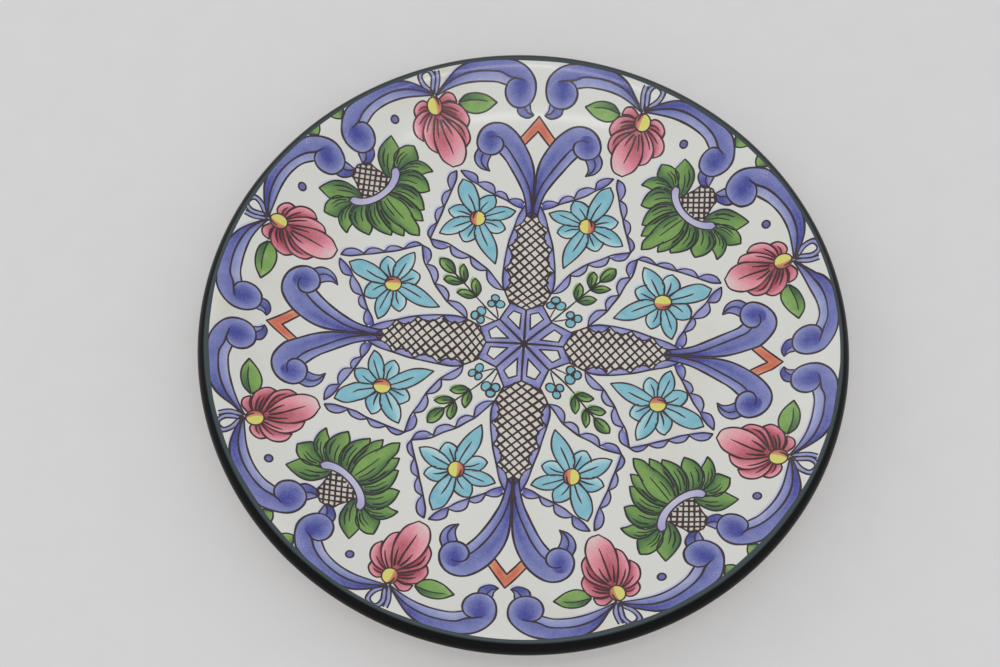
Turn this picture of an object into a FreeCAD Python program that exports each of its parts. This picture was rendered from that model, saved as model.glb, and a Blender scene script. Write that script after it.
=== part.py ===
"""Hand painted ceramic plate, millimetres, +Z up.

The origin is the centre of the foot ring's resting face. The painted pattern's main axes lie on
X and Y: it repeats every quarter turn, and each quarter is mirrored about its own axis.

The plate is a thrown clay body on a luted foot ring, a white glaze on the front, a glaze on the
back, a black glaze band over the lip, and thin fired enamel films, one node for each motif.
"""

import FreeCAD, Part
import math
import os

# Driving dimensions
PLATE_DIAMETER = 200.0
PLATE_HEIGHT = 19.5
FLOOR_HEIGHT = 9.0
WELL_RADIUS = 60.0
FOOT_HEIGHT = 4.0
FOOT_OUTER_RADIUS = 60.0
FOOT_WIDTH = 8.0
FOOT_TAPER = 1.4
BAND_INNER_RADIUS = 96.2
GLAZE_THICKNESS = 0.4
ENAMEL_THICKNESS = 0.12

# Worked out from them
RIM_RADIUS = PLATE_DIAMETER / 2
LIP_RADIUS = RIM_RADIUS - BAND_INNER_RADIUS
LIP_CENTRE = (BAND_INNER_RADIUS, PLATE_HEIGHT - LIP_RADIUS)
QUARTERS = range(4)
SIDES = (1, -1)

# The front of the glaze from the well to the band, as (radius, height)
FRONT_CURVE = [
    (WELL_RADIUS, FLOOR_HEIGHT),
    (70.0, 9.95),
    (79.5, 12.4),
    (86.0, 15.1),
    (92.0, 17.9),
    (BAND_INNER_RADIUS, PLATE_HEIGHT),
]
# Round the lip, as offsets from its centre
LIP_CURVE = [(0.0, LIP_RADIUS), (2.3, 3.0), (3.5, 1.2), (LIP_RADIUS, -0.5), (3.0, -2.3), (0.9, -3.2)]
# The back of the glaze from the lip's lower end in to the foot ring
BACK_CURVE = [(86.0, 8.9), (79.5, 6.7), (70.0, 4.8), (FOOT_OUTER_RADIUS, FOOT_HEIGHT)]
# How steeply the section runs where one curve hands over to the next, as rise over run
BAND_SLOPE = 0.2
LIP_END_SLOPE = 0.35

# Motifs in the frame of the pattern's +Y axis, on its right-hand side
FLOWER_CENTRE = (17.5, 42.3)
FLOWER_PETALS = [
    (65, 15.4), (109, 9.0), (163, 12.6), (196, 9.7), (245, 16.2), (299, 8.9), (333, 13.1), (15, 9.8),
]
FLOWER_NOTCH = 5.4
PETAL_SHOULDER = 0.6
PETAL_SHOULDER_TURN = 15
BUD_FAN = [
    (28.5, 83.3), (23.4, 78.5), (22.9, 71.0), (23.9, 64.0), (27.1, 60.3), (31.6, 63.0),
    (36.9, 67.6), (40.2, 73.5), (38.6, 80.2), (34.6, 82.3),
]
BUD_LEAF = ((14.9, 82.7), (20.5, 84.9), (26.3, 81.2), (21.8, 78.9))
BUD_RIBBON = [(35.2, 83.4), (33.5, 86.5), (34.2, 89.6), (37.0, 90.0), (39.7, 87.8), (38.6, 85.2)]
AXIS_SCROLL = [
    (33.0, 84.4), (27.5, 91.3), (20.0, 95.0), (12.0, 95.9), (4.8, 93.5), (1.9, 88.5), (3.0, 83.8),
    (6.8, 81.9), (10.6, 83.8), (12.2, 88.3), (17.5, 88.8), (26.0, 86.6),
]
AXIS_TAIL = [(3.6, 82.3), (2.0, 79.8), (5.0, 78.7), (8.2, 81.4)]
INNER_SCROLL = [
    (0.3, 43.5), (0.4, 55.0), (1.4, 64.5), (5.5, 72.3), (13.0, 76.5), (19.3, 73.2), (20.2, 68.3),
    (15.9, 65.7), (12.2, 66.9), (6.2, 58.8), (2.8, 50.5), (2.0, 44.5),
]
INNER_TAIL = [(15.7, 65.6), (16.0, 63.0), (15.6, 60.2), (20.9, 63.4), (19.8, 67.6)]
CONE_SIDE = [(5.2, 14.8), (7.6, 19.4), (8.3, 26.0), (7.1, 34.0), (4.6, 40.6), (2.0, 46.8)]
CONE_NOTCH = 12.3
FRAME_SIDES = [
    ((2.7, 48.7), (14.0, 51.9), (24.6, 59.2), (12.4, 54.1)),
    ((2.3, 48.0), (7.0, 35.0), (7.7, 19.6), (5.3, 33.8)),
    ((8.0, 19.5), (18.8, 28.9), (32.0, 34.1), (20.5, 26.6)),
    ((32.4, 34.0), (28.0, 46.0), (26.0, 58.8), (30.6, 47.0)),
]
CHEVRON = [(0, 79.8), (5.6, 72.5), (3.8, 70.0), (0, 74.4), (-3.8, 70.0), (-5.6, 72.5)]

# Motifs in the frame of the pattern's diagonal
DIAGONAL_SCROLL = [
    (29.5, 88.0), (24.5, 93.2), (15.0, 96.0), (7.8, 95.8), (2.6, 91.6), (1.8, 87.0), (4.4, 82.9),
    (8.0, 82.2), (11.2, 84.8), (11.2, 89.2), (18.5, 89.4), (27.5, 85.6),
]
DIAGONAL_TAIL = [(2.3, 83.5), (1.7, 80.6), (5.0, 79.2), (8.6, 81.6)]
ACANTHUS = [
    (0, 50.1), (2.6, 55.8), (3.9, 53.1), (5.2, 56.8), (6.6, 55.6), (9.3, 61.2), (12.1, 60.0),
    (13.8, 66.0), (17.1, 64.8), (15.6, 70.5), (18.5, 74.8), (14.0, 76.6), (14.8, 81.2),
    (8.6, 78.6), (6.0, 73.4), (3.9, 79.0), (0, 80.0),
]
SPRIG_STEM = (11.6, 33.0)
SPRIG_STEM_WIDTH = 0.5
SPRIG_LEAVES = [(0.5, 23.0, 4.0, 27.4), (0.5, 29.0, 4.1, 33.2)]
SPRIG_TOP_LEAF = (0.0, 33.4, 0.0, 39.4)
SPRIG_LEAF_WIDTH = 2.6
BERRIES = [(2.3, 17.8), (4.9, 18.6), (4.6, 15.9)]
BERRY_RADIUS = 1.25
DOT_PLACE = (19.3, 84.8)
DOT_RADIUS = 1.3
RIM_LEAF = [(2.3, 97.0), (4.7, 94.1), (7.0, 97.0)]

# The star in the middle, with its points between the axes and the diagonals
STAR_POINT_RADIUS = 14.6
STAR_NOTCH_RADIUS = 11.6
STAR_POINTS = 8


def section_point(radius, height):
    return FreeCAD.Vector(radius, 0, height)


def spline(points, start_slope, end_slope):
    """One smooth edge through the points, with the given rise over run at its two ends."""
    start = FreeCAD.Vector(1, 0, start_slope) * math.copysign(1, points[1].x - points[0].x)
    end = FreeCAD.Vector(1, 0, end_slope) * math.copysign(1, points[-1].x - points[-2].x)
    curve = Part.BSplineCurve()
    curve.interpolate(points, InitialTangent=start, FinalTangent=end)
    return curve.toShape()


def front_edge(rise):
    return spline(front_points(rise), 0, BAND_SLOPE)


def lip_edge(depth):
    return spline(lip_points(depth), BAND_SLOPE, LIP_END_SLOPE)


def back_edge(depth):
    return spline(back_points(depth), LIP_END_SLOPE, 0)


def line(start, end):
    return Part.makeLine(start, end)


def lathe(edges):
    """Turn a closed section in the XZ plane once round the Z axis."""
    face = Part.Face(Part.Wire(edges))
    return face.revolve(FreeCAD.Vector(0, 0, 0), FreeCAD.Vector(0, 0, 1), 360)


def front_points(rise):
    return [section_point(radius, height + rise) for radius, height in FRONT_CURVE]


def lip_points(depth):
    """The lip's outline, drawn in towards its centre by depth."""
    scale = 1 - depth / LIP_RADIUS
    return [
        section_point(LIP_CENTRE[0] + across * scale, LIP_CENTRE[1] + up * scale)
        for across, up in LIP_CURVE
    ]


def back_points(depth):
    """From the lip's lower end in to the foot ring, depth inside the finished surface."""
    inner = [section_point(radius, height + depth) for radius, height in BACK_CURVE]
    return [lip_points(depth)[-1]] + inner


def clay_body():
    floor_top = section_point(0, FLOOR_HEIGHT - GLAZE_THICKNESS)
    floor_bottom = section_point(0, FOOT_HEIGHT + GLAZE_THICKNESS)
    return lathe([
        line(floor_top, front_points(-GLAZE_THICKNESS)[0]),
        front_edge(-GLAZE_THICKNESS),
        lip_edge(GLAZE_THICKNESS),
        back_edge(GLAZE_THICKNESS),
        line(back_points(GLAZE_THICKNESS)[-1], floor_bottom),
        line(floor_bottom, floor_top),
    ])


def foot_ring():
    top = FOOT_HEIGHT + GLAZE_THICKNESS
    corners = [
        section_point(FOOT_OUTER_RADIUS, top),
        section_point(FOOT_OUTER_RADIUS, FOOT_HEIGHT),
        section_point(FOOT_OUTER_RADIUS - FOOT_TAPER, 0),
        section_point(FOOT_OUTER_RADIUS - FOOT_WIDTH + FOOT_TAPER, 0),
        section_point(FOOT_OUTER_RADIUS - FOOT_WIDTH, top),
    ]
    loop = corners + corners[:1]
    return lathe([line(start, end) for start, end in zip(loop, loop[1:])])


def front_film(bottom, top):
    """A film over the whole front inside the band, between two rises from the glaze's face."""
    above = front_points(top)
    below = front_points(bottom)
    centre_top = section_point(0, FLOOR_HEIGHT + top)
    centre_bottom = section_point(0, FLOOR_HEIGHT + bottom)
    return lathe([
        line(centre_top, above[0]),
        front_edge(top),
        line(above[-1], below[-1]),
        front_edge(bottom),
        line(below[0], centre_bottom),
        line(centre_bottom, centre_top),
    ])


def front_glaze():
    return front_film(-GLAZE_THICKNESS, 0)


def back_glaze():
    """The glaze under the rim, and a disc of it inside the foot ring."""
    outside = back_points(0)
    inside = back_points(GLAZE_THICKNESS)
    rim_part = lathe([
        back_edge(0),
        line(outside[-1], inside[-1]),
        back_edge(GLAZE_THICKNESS),
        line(inside[0], outside[0]),
    ])
    recess = Part.makeCylinder(
        FOOT_OUTER_RADIUS - FOOT_WIDTH, GLAZE_THICKNESS, FreeCAD.Vector(0, 0, FOOT_HEIGHT)
    )
    return Part.makeCompound([rim_part, recess])


def rim_band():
    outside = lip_points(0)
    inside = lip_points(GLAZE_THICKNESS)
    return lathe([
        lip_edge(0),
        line(outside[-1], inside[-1]),
        lip_edge(GLAZE_THICKNESS),
        line(inside[0], outside[0]),
    ])


def enamel_blank():
    """The film which the motifs are cut from."""
    return front_film(0, ENAMEL_THICKNESS)


def flat(point):
    return FreeCAD.Vector(point[0], point[1], 0)


def rounded(points):
    """A closed smooth outline through the points."""
    curve = Part.BSplineCurve()
    curve.interpolate([flat(point) for point in points], PeriodicFlag=True)
    return Part.Wire(curve.toShape())


def straight(points):
    """A closed outline of straight sides."""
    loop = [flat(point) for point in points] + [flat(points[0])]
    return Part.makePolygon(loop)


def crescent(start, middle, end, outer_middle):
    """Two arcs between the same two ends."""
    one = Part.Arc(flat(start), flat(middle), flat(end)).toShape()
    other = Part.Arc(flat(end), flat(outer_middle), flat(start)).toShape()
    return Part.Wire([one, other])


def leaf(start_x, start_y, end_x, end_y):
    """A leaf of the sprig's width between two ends."""
    length = math.hypot(end_x - start_x, end_y - start_y)
    across_x = (end_y - start_y) / length * SPRIG_LEAF_WIDTH / 2
    across_y = (start_x - end_x) / length * SPRIG_LEAF_WIDTH / 2
    middle_x = (start_x + end_x) / 2
    middle_y = (start_y + end_y) / 2
    return crescent(
        (start_x, start_y),
        (middle_x + across_x, middle_y + across_y),
        (end_x, end_y),
        (middle_x - across_x, middle_y - across_y),
    )


def disc(centre, radius):
    return Part.Wire(Part.makeCircle(radius, flat(centre)))


def placed(outline, side, quarter, diagonal=False):
    """Mirror an outline for the left-hand side and turn it to its quarter of the plate."""
    shape = outline
    if side < 0:
        shape = outline.mirror(FreeCAD.Vector(0, 0, 0), FreeCAD.Vector(1, 0, 0))
    angle = -90 * quarter - (45 if diagonal else 0)
    turned = shape.copy()
    turned.rotate(FreeCAD.Vector(0, 0, 0), FreeCAD.Vector(0, 0, 1), angle)
    return turned


def film(outlines, blank):
    """Cut one film for each outline out of the blank and group them."""
    films = []
    for outline in outlines:
        prism = Part.Face(outline).extrude(FreeCAD.Vector(0, 0, 2 * PLATE_HEIGHT))
        films.extend(prism.common(blank).Solids)
    return films[0] if len(films) == 1 else Part.makeCompound(films)


def star_flower_outline():
    """Eight petals, each a pointed tip between two shoulders, with a notch before the next."""
    points = []
    for number, (angle, length) in enumerate(FLOWER_PETALS):
        following = FLOWER_PETALS[(number + 1) % len(FLOWER_PETALS)][0]
        half_gap = ((following - angle) % 360) / 2
        shoulder = length * PETAL_SHOULDER
        corners = (
            (angle - PETAL_SHOULDER_TURN, shoulder),
            (angle, length),
            (angle + PETAL_SHOULDER_TURN, shoulder),
            (angle + half_gap, FLOWER_NOTCH),
        )
        for turn, reach in corners:
            x = FLOWER_CENTRE[0] + reach * math.cos(math.radians(turn))
            y = FLOWER_CENTRE[1] + reach * math.sin(math.radians(turn))
            points.append((x, y))
    return straight(points)


def bud_outlines():
    start, upper, end, lower = BUD_LEAF
    return [rounded(BUD_FAN), crescent(start, upper, end, lower), rounded(BUD_RIBBON)]


def cone_outline():
    left = [(-x, y) for x, y in reversed(CONE_SIDE)]
    return straight([(0, CONE_NOTCH)] + CONE_SIDE + left)


def acanthus_outline():
    left = [(-x, y) for x, y in reversed(ACANTHUS[1:-1])]
    return straight(ACANTHUS + left)


def sprig_outlines():
    start, end = SPRIG_STEM
    half = SPRIG_STEM_WIDTH / 2
    stem = straight([(-half, start), (half, start), (half, end), (-half, end)])
    outlines = [stem, leaf(*SPRIG_TOP_LEAF)]
    for start_x, start_y, end_x, end_y in SPRIG_LEAVES:
        for side in SIDES:
            outlines.append(leaf(side * start_x, start_y, side * end_x, end_y))
    return outlines


def star_outline():
    points = []
    step = 360 / STAR_POINTS
    for number in range(STAR_POINTS):
        for angle, radius in ((number * step, STAR_NOTCH_RADIUS), ((number + 0.5) * step, STAR_POINT_RADIUS)):
            points.append((radius * math.cos(math.radians(angle)), radius * math.sin(math.radians(angle))))
    return straight(points)


def all_round(outline, sides=SIDES, diagonal=False):
    """The same outline on each side of each quarter."""
    return [placed(outline, side, quarter, diagonal) for quarter in QUARTERS for side in sides]


def eight_fold_motifs():
    """Motifs that stand once on each side of each quarter's axis, as (name, outlines)."""
    motifs = []
    number = 0
    for quarter in QUARTERS:
        for side in SIDES:
            number += 1
            flower = [placed(star_flower_outline(), side, quarter)]
            frame = [placed(crescent(*sides), side, quarter) for sides in FRAME_SIDES]
            bud = [placed(outline, side, quarter) for outline in bud_outlines()]
            # the diagonal clockwise of this axis borders its right-hand side
            turn = quarter if side > 0 else quarter - 1
            scrolls = [
                placed(rounded(AXIS_SCROLL), side, quarter),
                placed(straight(AXIS_TAIL), side, quarter),
                placed(rounded(DIAGONAL_SCROLL), -side, turn, diagonal=True),
                placed(straight(DIAGONAL_TAIL), -side, turn, diagonal=True),
            ]
            motifs.append((f"star_flower_{number}", flower))
            motifs.append((f"diamond_frame_{number}", frame))
            motifs.append((f"rosebud_{number}", bud))
            motifs.append((f"rim_scrolls_{number}", scrolls))
    return motifs


def four_fold_motifs():
    """Motifs that stand once in each quarter, on its axis or its diagonal."""
    motifs = []
    for quarter in QUARTERS:
        scrolls = []
        for side in SIDES:
            scrolls.append(placed(rounded(INNER_SCROLL), side, quarter))
            scrolls.append(placed(straight(INNER_TAIL), side, quarter))
        sprig = [placed(outline, 1, quarter, diagonal=True) for outline in sprig_outlines()]
        number = quarter + 1
        motifs.append((f"inner_scrolls_{number}", scrolls))
        motifs.append((f"lattice_cone_{number}", [placed(cone_outline(), 1, quarter)]))
        motifs.append((f"acanthus_{number}", [placed(acanthus_outline(), 1, quarter, diagonal=True)]))
        motifs.append((f"leaf_sprig_{number}", sprig))
    return motifs


def grouped_motifs():
    """The star, and the small motifs that repeat all round, each kind in one node."""
    berries = []
    for centre in BERRIES:
        berries.extend(all_round(disc(centre, BERRY_RADIUS), diagonal=True))
    return [
        ("centre_star", [star_outline()]),
        ("berry_clusters", berries),
        ("orange_chevrons", all_round(straight(CHEVRON), sides=(1,))),
        ("blue_dots", all_round(disc(DOT_PLACE, DOT_RADIUS), diagonal=True)),
        ("rim_leaf_tips", all_round(straight(RIM_LEAF), diagonal=True)),
    ]


def main():
    os.makedirs("parts", exist_ok=True)
    nodes = [
        ("clay_body", clay_body()),
        ("foot_ring", foot_ring()),
        ("front_glaze", front_glaze()),
        ("back_glaze", back_glaze()),
        ("rim_band", rim_band()),
    ]
    blank = enamel_blank()
    for name, outlines in eight_fold_motifs() + four_fold_motifs() + grouped_motifs():
        nodes.append((name, film(outlines, blank)))
    for name, shape in nodes:
        closed = all(solid.isClosed() for solid in shape.Solids)
        print(f"{name}: {len(shape.Solids)} solids, {shape.Volume:.2f} mm3, ok {shape.isValid() and closed}")
        shape.exportStep(f"parts/{name}.step")


main()
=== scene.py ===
"""The look of a hand painted plate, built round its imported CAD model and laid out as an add-on.

Every shape is worked out in millimetres on the plate's own axes and written to its mesh in metres.
Painted marks are thin closed films that follow the dish: each lies between two edge curves.
"""
import math

import bpy
import numpy as np
from mathutils import Matrix, Vector


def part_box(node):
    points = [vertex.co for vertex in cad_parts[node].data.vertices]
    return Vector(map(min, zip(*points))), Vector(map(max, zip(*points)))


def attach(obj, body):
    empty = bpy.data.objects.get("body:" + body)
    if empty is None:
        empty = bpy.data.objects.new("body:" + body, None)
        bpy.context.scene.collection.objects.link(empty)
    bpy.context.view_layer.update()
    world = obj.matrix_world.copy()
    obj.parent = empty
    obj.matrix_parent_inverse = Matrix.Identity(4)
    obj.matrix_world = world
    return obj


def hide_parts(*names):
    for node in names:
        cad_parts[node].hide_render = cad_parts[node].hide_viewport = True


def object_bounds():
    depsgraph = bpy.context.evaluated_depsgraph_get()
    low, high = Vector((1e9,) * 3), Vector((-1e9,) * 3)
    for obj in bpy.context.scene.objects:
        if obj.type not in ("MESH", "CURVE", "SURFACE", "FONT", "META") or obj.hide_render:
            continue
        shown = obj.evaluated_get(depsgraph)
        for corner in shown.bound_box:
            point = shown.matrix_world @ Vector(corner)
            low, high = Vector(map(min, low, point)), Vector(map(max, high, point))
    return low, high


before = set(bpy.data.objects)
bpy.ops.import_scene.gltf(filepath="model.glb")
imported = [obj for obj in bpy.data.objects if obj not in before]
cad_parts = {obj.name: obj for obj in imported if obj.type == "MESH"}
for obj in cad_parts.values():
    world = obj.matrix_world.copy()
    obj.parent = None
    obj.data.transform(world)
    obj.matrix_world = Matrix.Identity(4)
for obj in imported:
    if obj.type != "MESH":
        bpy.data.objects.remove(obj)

bl_info = {
    "name": "Painted Plate",
    "version": (1, 0, 0),
    "blender": (4, 5, 0),
    "location": "3D View > Sidebar > Plate",
    "description": "Builds a glazed and painted plate and its stage",
    "category": "Object",
}

MM = 0.001
CAD_LOW, CAD_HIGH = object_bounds()
PLATE_RADIUS = (CAD_HIGH.x - CAD_LOW.x) / 2 / MM
FOOT_OUTER_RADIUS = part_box("foot_ring")[1].x / MM
BAND_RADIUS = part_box("front_glaze")[1].x / MM
# Where the white glaze meets the lip
FRONT_TOP = 19.5
# The middle of the lip's round
LIP_CENTRE = (BAND_RADIUS, FRONT_TOP - (PLATE_RADIUS - BAND_RADIUS))
GLAZE_DEPTH = 0.4
# How far the painted reflection along the lip's inner edge, where the glaze is also thin, reaches, and how
# softly it ends
CREST_WIDTH = 1.7
CREST_BLEND = 0.6
# Nothing painted reaches past this, and the white glaze runs in this far under the black
PAINT_RADIUS = BAND_RADIUS + 0.4
GLAZE_OVERLAP = 0.5
# The black glaze's inner edge: where it starts, its first (out, up) steps, the reach of its wander, and
# how far (in, down) the glaze comes back inside itself
BAND_START = BAND_RADIUS + 0.15
BAND_STEPS = ((0.0, 0.0), (0.25, 0.08), (0.9, 0.05))
BAND_EDGE = 1.2
BAND_DEPTH = (0.54, 0.45)
# The foot ring's width, and the glazed disc in it: its height, and how far it runs into the ring
FOOT_WIDTH = 8.0
RECESS_HEIGHT = 4.0
RECESS_MARGIN = 0.4
# The front of the glaze, as (radius, height), with the slopes at its two ends
FRONT_KNOTS = ((60.0, 9.0), (70.0, 9.95), (79.5, 12.4), (86.0, 15.1), (92.0, 17.9), (96.2, FRONT_TOP))
FRONT_SLOPES = (0.0, 0.2)
# The lip as offsets from its centre, and the back from the lip in to the foot ring
LIP_POINTS = ((2.3, 3.0), (3.5, 1.2), (3.8, -0.5), (3.0, -2.3), (0.9, -3.2))
BACK_POINTS = ((97.1, 12.5), (86.0, 8.9), (79.5, 6.7), (70.0, 4.8), (62.5, 4.05), (60.0, 4.0))

QUARTERS = range(4)
SIDES = (1, -1)
# The points round a fill and a line, and how far each kind of mark stands above the glaze
FILL_COLUMNS = 16
LINE_COLUMNS = 8
HALO_RISE = 0.012
FILL_RISE = 0.022
LINE_RISE = 0.034
LAYER_STEP = 0.02
FILM_DEPTH = 0.05
# A film's shoulder is this power of a sine, and its end is left open when it is wider than this
FILM_SHOULDER = 0.4
OPEN_END = 0.1
# A line's tone from edge to edge, and the widths of veins and lattice lines in line widths
LINE_TONE = ((0.7, 1.0, 0.7),)
VEIN_WIDTH = 0.85
LATTICE_WIDTH = 1.28
# How many of its widths a vein tapers over at its two ends
VEIN_ENDS = (0.8, 2.5)
# How strong the petals' tones are, and for the rose how much contrast they have
STAR_STRENGTH = 0.92
ROSE_CONTRAST = 1.15
ROSE_OFFSET = -0.12
# The star flowers whose centres are turned over, each a quarter and a side
TURNED_FLOWERS = ((0, -1), (0, 1), (3, 1))
# An edge sharper than this is shaded as a corner
SHARP_ANGLE = math.radians(60)


def srgb(red, green, blue):
    """A display colour of 0 to 255 as the linear colour that a shader takes."""
    parts = np.array((red, green, blue)) / 255
    linear = np.where(parts <= 0.04045, parts / 12.92, ((parts + 0.055) / 1.055) ** 2.4)
    return tuple(float(part) for part in linear)


# ---------------------------------------------------------------- curves and sections


def smooth(points, count):
    """Cubic Hermite curve through the points: chord-length parameter, central-difference slopes."""
    knots = np.asarray(points, float)
    chord = np.hypot(*np.diff(knots, axis=0).T)
    place = np.concatenate([[0], np.cumsum(chord)]) / chord.sum()
    slope = np.gradient(knots, place, axis=0)
    at = (1 - np.cos(np.linspace(0, math.pi, count))) / 2
    at = 0.35 * at + 0.65 * np.linspace(0, 1, count)
    left = np.clip(np.searchsorted(place, at, side="right") - 1, 0, len(place) - 2)
    span = (place[left + 1] - place[left])[:, None]
    part = (at - place[left])[:, None] / span
    return (
        (1 + 2 * part) * (1 - part) ** 2 * knots[left]
        + part * (1 - part) ** 2 * span * slope[left]
        + part ** 2 * (3 - 2 * part) * knots[left + 1]
        + part ** 2 * (part - 1) * span * slope[left + 1]
    )


def clamped_spline(knots, slopes):
    """Cubic spline through (place, value) knots with set end slopes, as a function of arrays."""
    place, value = np.asarray(knots, float).T
    gap = np.diff(place)
    rise = np.diff(value) / gap
    system = np.eye(len(place))
    target = np.zeros(len(place))
    target[0], target[-1] = slopes
    for row in range(1, len(place) - 1):
        system[row, row - 1:row + 2] = gap[row], 2 * (gap[row - 1] + gap[row]), gap[row - 1]
        target[row] = 3 * (gap[row] * rise[row - 1] + gap[row - 1] * rise[row])
    slope = np.linalg.solve(system, target)

    def value_at(where):
        left = np.clip(np.searchsorted(place, where, side="right") - 1, 0, len(gap) - 1)
        part = (where - place[left]) / gap[left]
        return (
            (1 + 2 * part) * (1 - part) ** 2 * value[left]
            + part * (1 - part) ** 2 * gap[left] * slope[left]
            + part ** 2 * (3 - 2 * part) * value[left + 1]
            + part ** 2 * (part - 1) * gap[left] * slope[left + 1]
        )

    return value_at


RIM_CURVE = clamped_spline(FRONT_KNOTS, FRONT_SLOPES)


def front_height(radius):
    """Height of the glaze's face: flat in the well, the rim's spline outside it."""
    rim = RIM_CURVE(np.clip(radius, FRONT_KNOTS[0][0], FRONT_KNOTS[-1][0]))
    return rim + np.maximum(radius - FRONT_KNOTS[-1][0], 0) * FRONT_SLOPES[1]


def throwing_waves(x, y):
    """Slight unevenness of the face: slow sines of the radius and of both axes, in millimetres."""
    radius = np.hypot(x, y)
    rings = 0.012 * np.sin(radius / 2.9 + 0.6 * np.sin(x / 23.0))
    return rings + 0.035 * np.sin(x / 13.1 + 1.3) * np.sin(y / 15.7 + 0.4)


def surface(x, y, rise):
    """Points on the plate's face, raised by rise, in metres."""
    height = front_height(np.hypot(x, y)) + throwing_waves(x, y) + rise
    return np.stack([x, y, height], axis=-1) * MM


def outline_normals(path):
    """Unit normals on the left of a flat path."""
    run = np.gradient(path, axis=0)
    run /= np.maximum(np.linalg.norm(run, axis=1, keepdims=True), 1e-9)
    return np.stack([-run[:, 1], run[:, 0]], axis=1)


# ---------------------------------------------------------------- painted marks


def spread(grid, along, across):
    """Bilinear values of a small grid, whose rows run along a mark and whose columns cross it."""
    grid = np.atleast_2d(np.asarray(grid, float))
    weights = []
    for place, count in ((along, grid.shape[0]), (across, grid.shape[1])):
        steps = np.abs(place[:, None] * (count - 1) - np.arange(count)[None, :])
        weights.append(np.clip(1 - steps, 0, 1))
    return weights[0] @ grid @ weights[1].T


def fill(ink, one, other, tone=0.7, layer=0, rows=26):
    """A mark that fills the space between two edge curves with the same two ends."""
    return {
        "ink": ink, "one": smooth(one, rows), "other": smooth(other, rows), "tone": tone,
        "rise": FILL_RISE + layer * LAYER_STEP, "columns": FILL_COLUMNS,
    }


def stroke(points, thickness=1.0, layer=0, ink="line", ends=(0.5, 0.5)):
    """A brush line along a curve, carried on a little past both ends.

    Its half width is a rounded end times a slow swell. The ends are how many widths they taper over.
    """
    width = thickness * bpy.context.scene.plate_sizes.line_width / MM
    path = smooth(points, 60)
    over = width * 0.35 / np.maximum(np.hypot(*(path[[0, -1]] - path[[1, -2]]).T), 1e-6)
    path[[0, -1]] += (path[[0, -1]] - path[[1, -2]]) * over[:, None]
    run = np.concatenate([[0], np.cumsum(np.hypot(*np.diff(path, axis=0).T))])
    length = run[-1]
    tip = width * np.array((0.0, 0.04, 0.14, 0.30))
    body = np.linspace(0.5 * width, length - 0.5 * width, max(4, int(length / 0.8) + 2))
    place = np.unique(np.concatenate([tip, body, length - tip]).clip(0, length))
    path = np.stack([np.interp(place, run, axis) for axis in path.T], axis=1)
    swell = 1 + 0.10 * np.sin(place / 2.3 + points[0][0]) + 0.06 * np.sin(place / 0.9 + points[0][1])
    close = np.minimum(place / (width * ends[0]), (length - place) / (width * ends[1]))
    half = width / 2 * swell * np.sqrt(1 - (1 - np.clip(close, 0, 1)) ** 2)
    shift = outline_normals(path) * half[:, None]
    return {
        "ink": ink, "one": path + shift, "other": path - shift, "tone": LINE_TONE,
        "rise": LINE_RISE + layer * LAYER_STEP, "columns": LINE_COLUMNS,
    }


def outlined(ink, one, other, tone, layer, veins=(), line="line", rows=26):
    """A filled shape with a line along both edges, and veins inside it."""
    marks = [fill(ink, one, other, tone, layer, rows)]
    marks += [stroke(edge, 1.0, layer, line) for edge in (one, other)]
    marks += [stroke(vein, VEIN_WIDTH, layer, line, ends=VEIN_ENDS) for vein in veins]
    return marks


def strand(ink, path, width, tone, layer, line):
    """A narrow band along a path with a line on each side."""
    middle = smooth(path, 22)
    shift = outline_normals(middle) * width / 2
    return outlined(ink, (middle + shift)[::3], (middle - shift)[::3], tone, layer, (), line)


def halos(marks, strength=0.62, ink="wash"):
    """Soft tints beside the fills among some marks, where a wash was printed out of line."""
    slip = bpy.context.scene.plate_sizes.wash_slip / MM * np.array((-1, 1))
    none = (0.0,) * 5
    soft = (0.0, strength, strength, strength, 0.0)
    result = []
    for mark in marks:
        if mark["rise"] < LINE_RISE and mark["columns"] == FILL_COLUMNS:
            shape = {"one": mark["one"] + slip, "other": mark["other"] + slip}
            result.append({**mark, **shape, "ink": ink, "tone": (none, soft, soft, none), "rise": HALO_RISE})
    return result


def oval(centre, across, up, turn=0.0):
    """The two halves of an oval from its lowest to its highest point, as edge curves."""
    angles = np.linspace(-math.pi / 2, math.pi / 2, 9)
    right = np.stack([across * np.cos(angles), up * np.sin(angles)], axis=1)
    left = right * (-1, 1)
    cosine, sine = math.cos(math.radians(turn)), math.sin(math.radians(turn))
    spin = np.array(((cosine, sine), (-sine, cosine)))
    return left @ spin + centre, right @ spin + centre


def quarter_axes(quarter, diagonal=False):
    """The directions of right and up in a quarter of the plate, or between it and the next."""
    angle = -math.pi / 2 * quarter - (math.pi / 4 if diagonal else 0)
    cosine, sine = math.cos(angle), math.sin(angle)
    return (cosine, sine), (-sine, cosine)


def moved(marks, side, quarter, diagonal=False):
    """Mirror marks for the left-hand side and turn them to their quarter of the plate."""
    turn = np.array(quarter_axes(quarter, diagonal))
    result = []
    for mark in marks:
        edges = {key: mark[key] * (side, 1) @ turn for key in ("one", "other")}
        result.append({**mark, **edges})
    return result


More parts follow.
